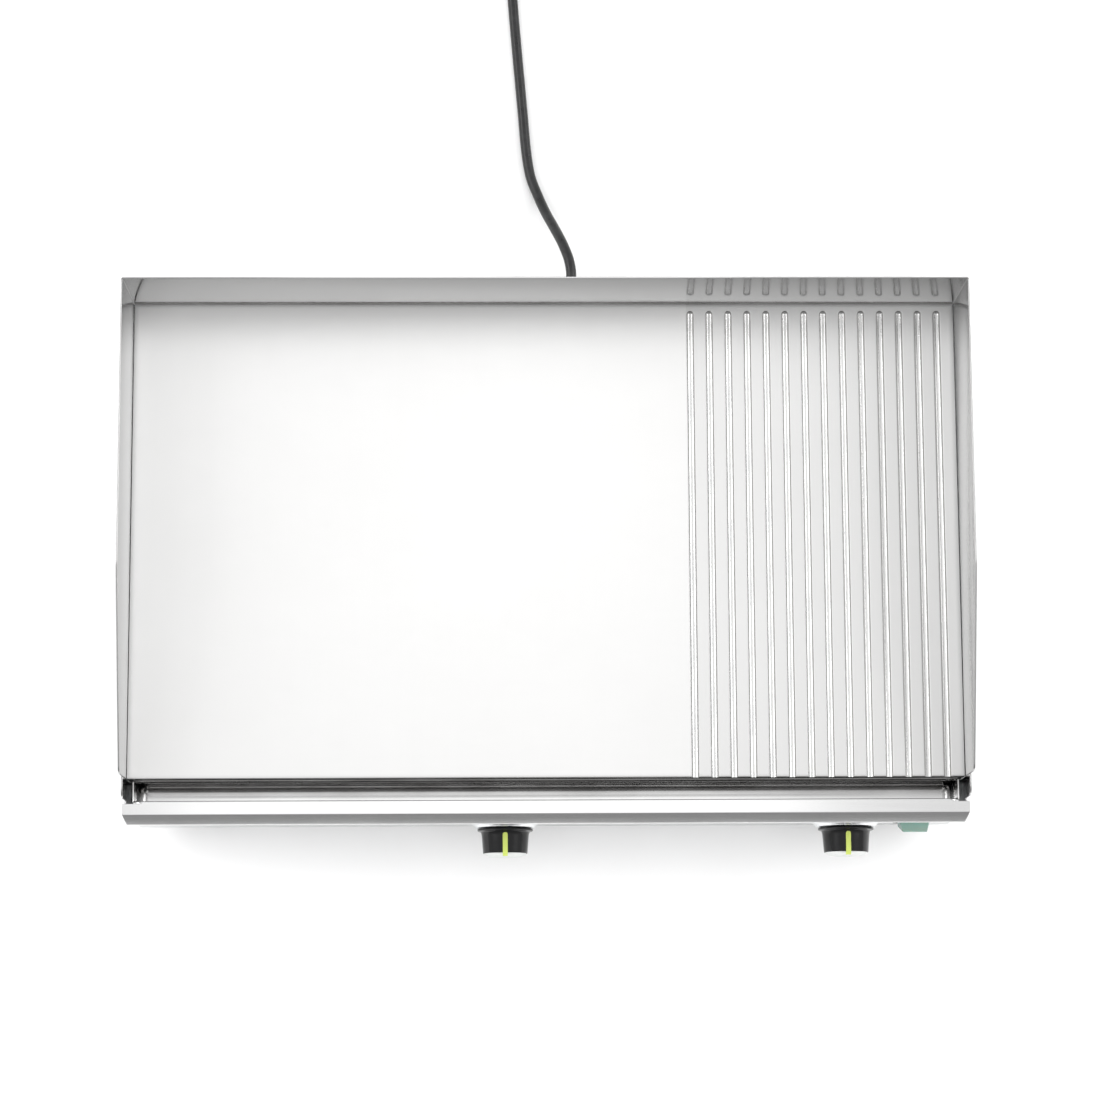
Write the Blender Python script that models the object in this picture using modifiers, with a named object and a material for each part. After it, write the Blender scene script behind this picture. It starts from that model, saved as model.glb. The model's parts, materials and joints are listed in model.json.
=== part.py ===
"""Countertop electric griddle: a steel plate, smooth on the left and grooved on the right, inside a
three-sided splash guard, with a lift-out grease tray along its front and two thermostat knobs.

Metres, +Z up. X runs along the front, the front faces -Y, and the origin is at the middle of the
griddle's footprint, on the surface that it stands on.
"""
import bpy
import bmesh
from math import cos, pi, radians, sin, sqrt
from mathutils import Matrix, Vector

# ---------------------------------------------------------------- driving dimensions
GAP = 0.0003              # clearance between neighbouring pieces
SHEET = 0.0015            # splash guard and casing
TRAY_SHEET = 0.0012

PLATE_WIDTH = 0.7234
PLATE_DEPTH = 0.420
PLATE_THICKNESS = 0.010
PLATE_TOP = 0.155
GROOVE_COUNT = 14
GROOVE_PITCH = 0.0168
GROOVE_RADIUS = 0.0031
FIRST_GROOVE_X = 0.1285
GROOVE_END_INSET = 0.0065  # from the rear wall to the grooves' round ends

SPLASH_HEIGHT = 0.090      # above the plate
SPLASH_FRONT_HEIGHT = 0.049
SPLASH_LEVEL_LENGTH = 0.245  # from the rear wall to where the side walls start to slope
SPLASH_LAP = 0.025         # below the plate, outside the casing
SPLASH_CORNER = 0.007

KNOB_REACH = 0.064         # from the plate's front edge to the knobs' faces
CASING_BOTTOM = 0.028
FLANGE = 0.0152            # the casing's folded edges

TRAY_REAR = 0.0005         # distances in front of the plate's front edge
TRAY_FRONT = 0.0188
TRAY_FLANGE_FRONT = 0.031
LIP_FRONT = 0.039
PANEL_FACE = 0.032
TRAY_BOTTOM = 0.110
TRAY_REAR_TOP = 0.150
TRAY_HALF = 0.3557
FLANGE_HALF = 0.3655
LIP_DROP = 0.008
LIP_HEM = 0.0035
LIP_CORNER = 0.007
CHEEK_HEIGHT = 0.027       # above the plate, beside the tray
CHEEK_CORNER = 0.008
REST_WIDTH = 0.017
REST_HEIGHT = 0.022
PANEL_TOP = 0.1514

KNOB_X = {"left": -0.036, "right": 0.265}
ZONE_X = {"left": -0.175, "right": 0.175}
CONTROL_Z = 0.087
SHAFT_RADIUS = 0.003

SWITCH_X = 0.325
SWITCH_TILT = 15.0         # degrees; the rocker's upper half stands out
SWITCH_BOX_HALF_WIDTH = 0.0146
SWITCH_BOX_HALF_HEIGHT = 0.0152
ROCKER_HALF_WIDTH = 0.0135
ROCKER_HALF_HEIGHT = 0.0125
POCKET_HALF_HEIGHT = 0.0140

VENT_PITCH = 0.014         # slots in the rear cover
VENT_HALF_WIDTH = 0.0025
VENT_BOTTOM = 0.065
VENT_TOP = 0.110
FLOOR_SLOT_PITCH = 0.060
CUT_MARGIN = 0.010         # how far a cutter runs past the faces that it cuts
SCREW_X = 0.3535
SCREW_HEIGHTS = (0.045, 0.108)
SCREW_RADIUS = 0.0019

FOOT_X = 0.318
FOOT_Y = 0.172

CORD_X = 0.026
CORD_Z = 0.048
CORD_RADIUS = 0.00475
CORD_HOLE_RADIUS = 0.0085
GLAND_LENGTH = 0.015
RELIEF_LENGTH = 0.035
COIL_CENTRE = (0.0312, 0.650)
COIL_INNER = 0.0362
COIL_OUTER = 0.0672
COIL_HEIGHT = 0.0192
PLUG_RADIUS = 0.019

# ---------------------------------------------------------------- worked out from them
DEPTH = KNOB_REACH + PLATE_DEPTH + SHEET
PLATE_FRONT = -DEPTH / 2 + KNOB_REACH
REAR_INNER = PLATE_FRONT + PLATE_DEPTH
PLATE_BOTTOM = PLATE_TOP - PLATE_THICKNESS
CASING_TOP = PLATE_BOTTOM - GAP
CASING_HALF = PLATE_WIDTH / 2
SPLASH_HALF = CASING_HALF + GAP + SHEET
SPLASH_TOP = PLATE_TOP + SPLASH_HEIGHT
SPLASH_BOTTOM = PLATE_BOTTOM - SPLASH_LAP
COVER_OUTER = REAR_INNER - GAP
COVER_INNER = COVER_OUTER - SHEET
PANEL_OUTER = PLATE_FRONT - PANEL_FACE
PANEL_INNER = PANEL_OUTER + SHEET
ELEMENT_RADIUS = 0.004
ELEMENT_Z = CASING_TOP - ELEMENT_RADIUS
FLOOR_PLATE_BOTTOM = CASING_BOTTOM + SHEET + GAP
FLOOR_PLATE_TOP = FLOOR_PLATE_BOTTOM + SHEET

# The cord's route from the strain relief to the coil, chosen by hand.
CORD_ROUTE = [
    (0.0260, 0.2916, 0.0480), (0.0260, 0.2990, 0.0480), (0.0238, 0.3110, 0.0466),
    (0.0185, 0.3270, 0.0400), (0.0112, 0.3450, 0.0282), (0.0030, 0.3640, 0.0158),
    (-0.0042, 0.3830, 0.0078), (-0.0108, 0.4020, 0.0052), (-0.0148, 0.4280, 0.0049),
    (-0.0175, 0.4600, 0.0049), (-0.0205, 0.4950, 0.0049), (-0.0235, 0.5300, 0.0049),
    (-0.0262, 0.5640, 0.0049), (-0.0280, 0.5900, 0.0049), (-0.0287, 0.6095, 0.0049),
]

# name: (colour, roughness, metallic)
FINISHES = {
    "stainless_sheet": ((0.66, 0.67, 0.68), 0.30, 1.0),
    "polished_plate": ((0.80, 0.80, 0.79), 0.22, 1.0),
    "galvanised_sheet": ((0.55, 0.57, 0.58), 0.45, 1.0),
    "knob_black": ((0.018, 0.018, 0.020), 0.35, 0.0),
    "cap_silver": ((0.62, 0.63, 0.63), 0.35, 0.8),
    "pointer_lime": ((0.58, 0.70, 0.12), 0.45, 0.0),
    "bezel_silver": ((0.78, 0.79, 0.80), 0.25, 1.0),
    "switch_black": ((0.02, 0.025, 0.022), 0.40, 0.0),
    "switch_green": ((0.30, 0.47, 0.42), 0.30, 0.0),
    "thermostat_grey": ((0.40, 0.40, 0.38), 0.50, 0.0),
    "element_sheath": ((0.30, 0.28, 0.25), 0.50, 1.0),
    "insulation_wool": ((0.75, 0.72, 0.62), 0.95, 0.0),
    "foot_rubber": ((0.03, 0.03, 0.03), 0.80, 0.0),
    "cord_rubber": ((0.025, 0.025, 0.026), 0.60, 0.0),
    "plug_rubber": ((0.03, 0.03, 0.03), 0.55, 0.0),
    "pin_brass": ((0.78, 0.72, 0.55), 0.30, 1.0),
    "ceramic_white": ((0.85, 0.84, 0.80), 0.50, 0.0),
    "screw_steel": ((0.60, 0.60, 0.60), 0.30, 1.0),
}

TO_FRONT = (pi / 2, 0.0, 0.0)   # turns a shape's +Z to the griddle's front
TO_REAR = (-pi / 2, 0.0, 0.0)
TO_RIGHT = (0.0, pi / 2, 0.0)


def ahead(distance):
    """Y of a point this far in front of the plate's front edge."""
    return PLATE_FRONT - distance


def behind(distance):
    """Y of a point this far behind the plate's front edge."""
    return PLATE_FRONT + distance


# ---------------------------------------------------------------- scene and materials
for old in list(bpy.data.objects):
    bpy.data.objects.remove(old)

parts = bpy.data.collections.new("flat_top_griddle")
cutters = bpy.data.collections.new("cutters")
bpy.context.scene.collection.children.link(parts)
bpy.context.scene.collection.children.link(cutters)


def make_finish(name):
    colour, roughness, metallic = FINISHES[name]
    finish = bpy.data.materials.new(name)
    finish.use_nodes = True
    shader = finish.node_tree.nodes["Principled BSDF"]
    shader.inputs["Base Color"].default_value = (*colour, 1.0)
    shader.inputs["Roughness"].default_value = roughness
    shader.inputs["Metallic"].default_value = metallic
    finish.diffuse_color = (*colour, 1.0)
    return finish


finishes = {name: make_finish(name) for name in FINISHES}


# ---------------------------------------------------------------- tools
def add_object(name, data, finish=None):
    """Link an object to the parts, or to the cutters if it has no finish."""
    made = bpy.data.objects.new(name, data)
    if finish:
        data.materials.append(finishes[finish])
        parts.objects.link(made)
    else:
        cutters.objects.link(made)
        made.hide_render = True
        made.display_type = "WIRE"
    return made


def finish_bmesh(name, shape, finish=None):
    mesh = bpy.data.meshes.new(name)
    shape.to_mesh(mesh)
    shape.free()
    return add_object(name, mesh, finish)


def blocks(name, corners, finish=None):
    """One box for each pair of corners (low, high)."""
    shape = bmesh.new()
    for low, high in corners:
        size = Vector(high) - Vector(low)
        middle = (Vector(high) + Vector(low)) / 2
        place = Matrix.Translation(middle) @ Matrix.Diagonal((*size, 1.0))
        bmesh.ops.create_cube(shape, size=1.0, matrix=place)
    return finish_bmesh(name, shape, finish)


def block(name, low, high, finish=None):
    return blocks(name, [(low, high)], finish)


def drills(name, centres, radius, length=0.02, segments=20):
    """Cutters for round holes along Y: one cylinder centred on each point."""
    shape = bmesh.new()
    for centre in centres:
        place = Matrix.Translation(centre) @ Matrix.Rotation(pi / 2, 4, "X")
        bmesh.ops.create_cone(shape, cap_ends=True, segments=segments, radius1=radius,
                              radius2=radius, depth=length, matrix=place)
    return finish_bmesh(name, shape)


def combine(target, other, operation="DIFFERENCE"):
    step = target.modifiers.new(other.name, "BOOLEAN")
    step.operation = operation
    step.object = other


def thicken(target, thickness):
    """Give an open surface a wall on the side that its faces point away from."""
    step = target.modifiers.new("wall", "SOLIDIFY")
    step.thickness = thickness
    step.offset = -1.0
    step.solidify_mode = "NON_MANIFOLD"
    step.nonmanifold_thickness_mode = "CONSTRAINTS"


def sheet_metal(name, corners, faces, thickness, finish):
    """A folded sheet: flat faces that share their fold lines, with one wall thickness."""
    mesh = bpy.data.meshes.new(name)
    mesh.from_pydata(corners, [], faces)
    made = add_object(name, mesh, finish)
    thicken(made, thickness)
    return made


def turned(name, profile, finish, location, turn=(0.0, 0.0, 0.0), steps=32, ring=False):
    """A turned piece: (radius, height) points down its outer side, carried round local Z."""
    corners = [(radius, 0.0, height) for radius, height in profile]
    edges = [(i, i + 1) for i in range(len(corners) - 1)]
    if ring:
        edges.append((len(corners) - 1, 0))
    mesh = bpy.data.meshes.new(name)
    mesh.from_pydata(corners, edges, [])
    made = add_object(name, mesh, finish)
    made.location = location
    made.rotation_euler = turn
    spin = made.modifiers.new("spin", "SCREW")
    spin.steps = spin.render_steps = steps
    spin.use_merge_vertices = True
    spin.merge_threshold = 0.00001
    spin.use_smooth_shade = True
    return made


def as_mesh(curve_object):
    """Turn a curve object into a mesh object with its caps welded on."""
    bpy.context.view_layer.update()
    evaluated = curve_object.evaluated_get(bpy.context.evaluated_depsgraph_get())
    mesh = bpy.data.meshes.new_from_object(evaluated)
    shape = bmesh.new()
    shape.from_mesh(mesh)
    bmesh.ops.remove_doubles(shape, verts=shape.verts, dist=0.000001)
    shape.to_mesh(mesh)
    shape.free()
    name = curve_object.name
    made = bpy.data.objects.new(name, mesh)
    made.matrix_world = curve_object.matrix_world
    parts.objects.link(made)
    bpy.data.objects.remove(curve_object)
    made.name = name
    return made


def side_sheet(name, outline, x_middle, thickness, finish):
    """A flat sheet standing across X: its outline is a list of (y, z)."""
    curve = bpy.data.curves.new(name, "CURVE")
    curve.dimensions = "2D"
    curve.fill_mode = "BOTH"
    curve.extrude = thickness / 2
    spline = curve.splines.new("POLY")
    spline.points.add(len(outline) - 1)
    for point, (y, z) in zip(spline.points, outline):
        point.co = (y, z, 0.0, 1.0)
    spline.use_cyclic_u = True
    made = add_object(name, curve, finish)
    made.matrix_world = Matrix(((0, 0, 1, x_middle), (1, 0, 0, 0), (0, 1, 0, 0), (0, 0, 0, 1)))
    return as_mesh(made)


def tube(name, points, radius, finish, resolution=2):
    curve = bpy.data.curves.new(name, "CURVE")
    curve.dimensions = "3D"
    curve.bevel_depth = radius
    curve.bevel_resolution = resolution
    curve.use_fill_caps = True
    spline = curve.splines.new("POLY")
    spline.points.add(len(points) - 1)
    for point, place in zip(spline.points, points):
        point.co = (*place, 1.0)
    return as_mesh(add_object(name, curve, finish))


def arc(centre, radius, start, end, steps):
    """Points of a circle arc in a plane, from one angle to another in degrees."""
    angles = [radians(start + (end - start) * i / steps) for i in range(steps + 1)]
    return [(centre[0] + radius * cos(a), centre[1] + radius * sin(a)) for a in angles]


def smooth_route(knots, spacing):
    """Points along a Catmull-Rom curve through the knots, about one for each spacing."""
    ends = [Vector(knots[0]) * 2 - Vector(knots[1])] + [Vector(k) for k in knots]
    ends.append(Vector(knots[-1]) * 2 - Vector(knots[-2]))
    route = []
    for i in range(1, len(ends) - 2):
        a, b, c, d = ends[i - 1:i + 3]
        count = max(1, round((c - b).length / spacing))
        for step in range(count):
            t = step / count
            route.append(0.5 * (2 * b + (c - a) * t + (2 * a - 5 * b + 4 * c - d) * t ** 2
                                + (3 * b - a - 3 * c + d) * t ** 3))
    route.append(ends[-2])
    return route


# ---------------------------------------------------------------- plate and splash guard
def build_plate():
    plate = block("griddle_plate", (-CASING_HALF, PLATE_FRONT, PLATE_BOTTOM),
                  (CASING_HALF, REAR_INNER - GAP, PLATE_TOP), "polished_plate")
    shape = bmesh.new()
    round_end = REAR_INNER - GROOVE_END_INSET - GROOVE_RADIUS
    for i in range(GROOVE_COUNT):
        centre = (FIRST_GROOVE_X + i * GROOVE_PITCH, round_end, PLATE_TOP)
        place = Matrix.Translation(centre) @ Matrix.Rotation(pi / 2, 4, "X")
        ball = bmesh.ops.create_uvsphere(shape, u_segments=16, v_segments=8, radius=GROOVE_RADIUS,
                                         matrix=place)
        for vertex in ball["verts"]:
            if vertex.co.y < round_end - GROOVE_RADIUS * 0.1:
                vertex.co.y -= PLATE_DEPTH
    combine(plate, finish_bmesh("grooves", shape))


def build_splash_guard():
    block("rear_splash", (-SPLASH_HALF, REAR_INNER, SPLASH_BOTTOM),
          (SPLASH_HALF, REAR_INNER + SHEET, SPLASH_TOP), "stainless_sheet")
    slope_start = REAR_INNER - SPLASH_LEVEL_LENGTH
    front_top = PLATE_TOP + SPLASH_FRONT_HEIGHT
    outline = [(REAR_INNER - GAP, SPLASH_BOTTOM), (REAR_INNER - GAP, SPLASH_TOP),
               (slope_start, SPLASH_TOP)]
    outline += arc((PLATE_FRONT + SPLASH_CORNER, front_top - SPLASH_CORNER), SPLASH_CORNER, 104, 180, 6)
    outline.append((PLATE_FRONT, SPLASH_BOTTOM))
    for side, sign in (("left", -1), ("right", 1)):
        side_sheet(f"{side}_splash", outline, sign * (SPLASH_HALF - SHEET / 2), SHEET, "stainless_sheet")


def build_cheeks():
    """The upright sheets beside the tray, which also close the casing's front corners."""
    top = PLATE_TOP + CHEEK_HEIGHT
    under_flange = PLATE_TOP - TRAY_SHEET - 2 * GAP
    flange_edge = ahead(TRAY_FRONT - GAP)
    lap_end = behind(0.006)
    outline = [(PANEL_INNER + GAP, CASING_BOTTOM), (lap_end, CASING_BOTTOM),
               (lap_end, SPLASH_BOTTOM - GAP), (ahead(GAP), SPLASH_BOTTOM - GAP), (ahead(GAP), top)]
    outline += arc((flange_edge + CHEEK_CORNER, top - CHEEK_CORNER), CHEEK_CORNER, 90, 180, 6)
    outline += [(flange_edge, under_flange), (PANEL_INNER + GAP, under_flange)]
    for side, sign in (("left", -1), ("right", 1)):
        side_sheet(f"{side}_cheek", outline, sign * (SPLASH_HALF - SHEET / 2), SHEET, "stainless_sheet")


# ---------------------------------------------------------------- grease tray
def tray_rim(y_front, z, corner):
    """The rim's outline at one height, from its rear left end round the front to its rear right end."""
    rear = ahead(TRAY_FRONT)
    right = [(FLANGE_HALF, rear)]
    right += arc((FLANGE_HALF - corner, y_front + corner), corner, 0, -90, 5)
    left = [(-x, y) for x, y in right]
    return [(x, y, z) for x, y in left + right[::-1]]


def build_tray():
    """A folded channel whose front wall turns over into a flange and a sloping lip with side skirts."""
    rear, front = ahead(TRAY_REAR + TRAY_SHEET), ahead(TRAY_FRONT)
    floor = TRAY_BOTTOM + TRAY_SHEET
    channel = [(rear, TRAY_REAR_TOP), (rear, floor), (front, floor), (front, PLATE_TOP)]
    corners = [(x, y, z) for y, z in channel for x in (-TRAY_HALF, TRAY_HALF)]
    faces = [(i, i + 2, i + 3, i + 1) for i in (0, 2, 4)]
    rims = [tray_rim(ahead(TRAY_FLANGE_FRONT), PLATE_TOP, 0.0015),
            tray_rim(ahead(LIP_FRONT), PLATE_TOP - LIP_DROP, LIP_CORNER),
            tray_rim(ahead(LIP_FRONT), PLATE_TOP - LIP_DROP - LIP_HEM, LIP_CORNER)]
    first, count = len(corners), len(rims[0])
    for rim in rims:
        corners += rim
    faces.append((6, *range(first, first + count), 7))
    for row in (0, 1):
        for i in range(count - 1):
            a = first + row * count + i
            faces.append((a, a + count, a + count + 1, a + 1))
    sheet_metal("grease_tray", corners, faces, TRAY_SHEET, "stainless_sheet")

    outline = [(ahead(TRAY_FRONT + 0.0009), TRAY_BOTTOM + GAP), (ahead(TRAY_REAR + GAP), TRAY_BOTTOM + GAP),
               (ahead(TRAY_REAR + GAP), TRAY_REAR_TOP), (ahead(TRAY_FRONT + 0.0009), TRAY_REAR_TOP)]
    for side, sign in (("left", -1), ("right", 1)):
        middle = sign * (TRAY_HALF + GAP + TRAY_SHEET / 2)
        side_sheet(f"{side}_tray_end", outline, middle, TRAY_SHEET, "stainless_sheet")
        build_tray_rest(side, sign)


def build_tray_rest(side, sign):
    """An angle on the inside of a cheek, which carries one end of the tray."""
    outer, inner = sign * CASING_HALF, sign * (CASING_HALF - REST_WIDTH)
    low, high = TRAY_BOTTOM - REST_HEIGHT, TRAY_BOTTOM - GAP
    near, far = ahead(TRAY_FRONT + 0.0002), ahead(TRAY_REAR + 0.0005)
    corners = [(outer, near, low), (outer, far, low), (outer, near, high), (outer, far, high),
               (inner, near, high), (inner, far, high)]
    faces = [(0, 1, 3, 2), (2, 3, 5, 4)]
    if sign < 0:
        faces = [face[::-1] for face in faces]
    sheet_metal(f"{side}_tray_rest", corners, faces, SHEET, "galvanised_sheet")


# ---------------------------------------------------------------- casing
def build_side_panel(side, sign):
    """A side of the casing: a web with folded edges that carry the plate, floor plate and rear cover."""
    outer, inner = sign * CASING_HALF, sign * (CASING_HALF - FLANGE)
    near, far = PLATE_FRONT, COVER_INNER - GAP
    low, high = CASING_BOTTOM, CASING_TOP
    tab_low, tab_high = 0.034, 0.140
    corners = [(outer, near, low), (outer, far, low), (outer, far, tab_low), (outer, far, tab_high),
               (outer, far, high), (outer, near, high),
               (inner, near, low), (inner, far - FLANGE, low), (inner, near, high),
               (inner, far - FLANGE, high), (inner, far, tab_low), (inner, far, tab_high)]
    faces = [(0, 1, 2, 3, 4, 5), (0, 6, 7, 1), (5, 4, 9, 8), (2, 10, 11, 3)]
    if sign < 0:
        faces = [face[::-1] for face in faces]
    return sheet_metal(f"{side}_side_panel", corners, faces, SHEET, "stainless_sheet")


def build_rear_cover(side_panels):
    cover = block("rear_cover", (-CASING_HALF, COVER_INNER, CASING_BOTTOM),
                  (CASING_HALF, COVER_OUTER, CASING_TOP), "stainless_sheet")
    near, far = COVER_INNER - CUT_MARGIN, COVER_OUTER + CUT_MARGIN
    slots = []
    for group in (-0.200, 0.200):
        for i in range(7):
            x = group + (i - 3) * VENT_PITCH
            slots.append(((x - VENT_HALF_WIDTH, near, VENT_BOTTOM), (x + VENT_HALF_WIDTH, far, VENT_TOP)))
    combine(cover, blocks("cover_slots", slots))
    combine(cover, drills("cord_hole", [(CORD_X, COVER_INNER, CORD_Z)], CORD_HOLE_RADIUS))
    places = [(sign * SCREW_X, COVER_INNER, z) for sign in (-1, 1) for z in SCREW_HEIGHTS]
    screw_holes = drills("screw_holes", places, SCREW_RADIUS + 0.0004, segments=12)
    combine(cover, screw_holes)
    for panel in side_panels:
        combine(panel, screw_holes)
    profile = [(0.0, 0.0014), (0.0030, 0.0012), (0.0038, 0.0005), (0.0038, 0.0), (SCREW_RADIUS, 0.0),
               (SCREW_RADIUS, -0.0060), (0.0, -0.0068)]
    for place, name in zip(places, ("lower_left", "upper_left", "lower_right", "upper_right")):
        turned(f"cover_screw_{name}", profile, "screw_steel", (place[0], COVER_OUTER + GAP, place[2]),
               TO_REAR, steps=12)


def build_front_panel():
    """A flat front with a short fold along its lower edge, and holes for the controls."""
    top = PANEL_TOP
    return_half, return_depth = CASING_HALF - GAP, 0.0115
    corners = [(-SPLASH_HALF, PANEL_OUTER, top), (-SPLASH_HALF, PANEL_OUTER, CASING_BOTTOM),
               (-return_half, PANEL_OUTER, CASING_BOTTOM), (return_half, PANEL_OUTER, CASING_BOTTOM),
               (SPLASH_HALF, PANEL_OUTER, CASING_BOTTOM), (SPLASH_HALF, PANEL_OUTER, top),
               (-return_half, PANEL_OUTER + return_depth, CASING_BOTTOM),
               (return_half, PANEL_OUTER + return_depth, CASING_BOTTOM)]
    faces = [(0, 1, 2, 3, 4, 5), (2, 6, 7, 3)]
    panel = sheet_metal("front_panel", corners, faces, SHEET, "stainless_sheet")
    shafts = [(x, PANEL_OUTER, CONTROL_Z) for x in KNOB_X.values()]
    combine(panel, drills("shaft_holes", shafts, SHAFT_RADIUS + 0.0015))
    half_width, half_height = SWITCH_BOX_HALF_WIDTH + GAP, SWITCH_BOX_HALF_HEIGHT + GAP
    combine(panel, block("switch_hole",
                         (SWITCH_X - half_width, PANEL_OUTER - CUT_MARGIN, CONTROL_Z - half_height),
                         (SWITCH_X + half_width, PANEL_INNER + CUT_MARGIN, CONTROL_Z + half_height)))


def build_floor_plate():
    plate = block("floor_plate", (-CASING_HALF + SHEET + GAP, PANEL_INNER + GAP, FLOOR_PLATE_BOTTOM),
                  (CASING_HALF - SHEET - GAP, COVER_INNER - GAP, FLOOR_PLATE_TOP), "galvanised_sheet")
    low, high = FLOOR_PLATE_BOTTOM - CUT_MARGIN, FLOOR_PLATE_TOP + CUT_MARGIN
    slots = []
    for row in (-0.06, 0.06):
        for i in range(8):
            x = (i - 3.5) * FLOOR_SLOT_PITCH
            slots.append(((x - 0.004, row - 0.025, low), (x + 0.004, row + 0.025, high)))
    combine(plate, blocks("floor_slots", slots))


def build_feet():
    height = FLOOR_PLATE_BOTTOM - GAP
    profile = [(0.0, height), (0.0150, height), (0.0165, height - 0.002), (0.0195, 0.003), (0.0185, 0.0),
               (0.0070, 0.0), (0.0060, 0.004), (0.0, 0.004)]
    for name, x, y in (("front_left", -FOOT_X, -FOOT_Y), ("front_right", FOOT_X, -FOOT_Y),
                       ("rear_left", -FOOT_X, FOOT_Y), ("rear_right", FOOT_X, FOOT_Y)):
        turned(f"foot_{name}", profile, "foot_rubber", (x, y, 0.0), steps=24)


# ---------------------------------------------------------------- controls
def build_knob(side, x):
    """Knob, pointer, cap, bezel and shaft. Heights are measured forward from the front panel."""
    origin = (x, PANEL_OUTER, CONTROL_Z)
    bezel = [(0.0045, 0.0065), (0.0255, 0.0065), (0.0262, 0.0060), (0.0305, 0.0012), (0.0305, GAP),
             (0.0045, GAP)]
    turned(f"{side}_bezel", bezel, "bezel_silver", origin, TO_FRONT, steps=40, ring=True)

    body = [(0.0, 0.0306), (0.0188, 0.0306), (0.0196, 0.0298), (0.0205, 0.0102), (0.0240, 0.0094),
            (0.0245, 0.0088), (0.0245, 0.0072), (0.0240, 0.0068), (0.0033, 0.0068), (0.0033, 0.0245),
            (0.0, 0.0245)]
    knob = turned(f"{side}_knob", body, "knob_black", origin, TO_FRONT, steps=40)
    slot_half = 0.0022 + GAP
    combine(knob, block(f"{side}_pointer_slot", (x - slot_half, PANEL_OUTER - 0.05, CONTROL_Z + 0.0182),
                        (x + slot_half, PANEL_OUTER - 0.0108, CONTROL_Z + 0.03)))
    block(f"{side}_pointer", (x - 0.0022, PANEL_OUTER - 0.0318, CONTROL_Z + 0.0185),
          (x + 0.0022, PANEL_OUTER - 0.0111, CONTROL_Z + 0.0211), "pointer_lime")

    cap_front = KNOB_REACH - PANEL_FACE
    cap = [(0.0, cap_front), (0.0168, cap_front - 0.0002), (0.0178, cap_front - 0.0006), (0.0178, 0.0309),
           (0.0, 0.0309)]
    turned(f"{side}_knob_cap", cap, "cap_silver", origin, TO_FRONT, steps=40)
    shaft = [(0.0, 0.0240), (SHAFT_RADIUS, 0.0240), (SHAFT_RADIUS, -0.0085), (0.0, -0.0085)]
    turned(f"{side}_knob_shaft", shaft, "screw_steel", origin, TO_FRONT, steps=16)


def build_thermostat(side, x, zone_x):
    front = PANEL_INNER + GAP
    body = block(f"{side}_thermostat", (x - 0.018, front, CONTROL_Z - 0.020),
                 (x + 0.018, ahead(0.0040), CONTROL_Z + 0.020), "thermostat_grey")
    combine(body, drills(f"{side}_thermostat_bore", [(x, front, CONTROL_Z)], SHAFT_RADIUS + GAP,
                         length=0.016, segments=16))
    knots = [(x, ahead(0.0035), 0.098), (x, behind(0.010), 0.106),
             (x * 0.75 + zone_x * 0.25, behind(0.024), 0.124),
             (x * 0.3 + zone_x * 0.7, behind(0.036), 0.1343), (zone_x, behind(0.060), 0.1345),
             (zone_x, behind(0.100), 0.1345), (zone_x, behind(0.1188), 0.1408)]
    tube(f"{side}_capillary", smooth_route(knots, 0.012), 0.0008, "element_sheath")
    bulb = [(0.0, 0.100), (0.0024, 0.0995), (0.0030, 0.098), (0.0030, 0.002), (0.0024, 0.0005), (0.0, 0.0)]
    turned(f"{side}_sensor_bulb", bulb, "element_sheath", (zone_x, behind(0.1195), 0.1412), TO_REAR, steps=12)


def build_switch():
    """The mains switch: a housing with a pocket, and a rocker whose pivot runs along X."""
    pivot_y = PANEL_OUTER - 0.0005
    flange_front = PANEL_OUTER - 0.0021
    housing = block("switch_housing", (SWITCH_X - 0.0160, flange_front, CONTROL_Z - 0.0170),
                    (SWITCH_X + 0.0160, PANEL_OUTER - GAP, CONTROL_Z + 0.0170), "switch_black")
    box_low = (SWITCH_X - SWITCH_BOX_HALF_WIDTH, flange_front + 0.0005, CONTROL_Z - SWITCH_BOX_HALF_HEIGHT)
    box_high = (SWITCH_X + SWITCH_BOX_HALF_WIDTH, ahead(0.0120), CONTROL_Z + SWITCH_BOX_HALF_HEIGHT)
    combine(housing, block("switch_box", box_low, box_high), "UNION")
    pocket_half = ROCKER_HALF_WIDTH + 0.0004
    pocket_low = (SWITCH_X - pocket_half, flange_front - CUT_MARGIN, CONTROL_Z - POCKET_HALF_HEIGHT)
    pocket_high = (SWITCH_X + pocket_half, ahead(0.0240), CONTROL_Z + POCKET_HALF_HEIGHT)
    combine(housing, block("switch_pocket", pocket_low, pocket_high))

    front, dip, back = 0.0085, 0.0064, 0.0040
    outline = [(-front, -ROCKER_HALF_HEIGHT), (-dip, 0.0), (-front, ROCKER_HALF_HEIGHT),
               (back, ROCKER_HALF_HEIGHT - 0.001), (back, -ROCKER_HALF_HEIGHT + 0.001)]
    shape = bmesh.new()
    face = shape.faces.new([shape.verts.new((-ROCKER_HALF_WIDTH, y, z)) for y, z in outline])
    grown = bmesh.ops.extrude_face_region(shape, geom=[face])
    moved = [item for item in grown["geom"] if isinstance(item, bmesh.types.BMVert)]
    bmesh.ops.translate(shape, vec=(2 * ROCKER_HALF_WIDTH, 0, 0), verts=moved)
    for vertex in shape.verts:
        if vertex.co.y < -dip - 0.0005:
            vertex.co.x *= 0.80
    bmesh.ops.recalc_face_normals(shape, faces=shape.faces)
    rocker = finish_bmesh("switch_rocker", shape, "switch_green")
    rocker.location = (SWITCH_X, pivot_y, CONTROL_Z)
    rocker.rotation_euler = (radians(SWITCH_TILT), 0.0, 0.0)


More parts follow.
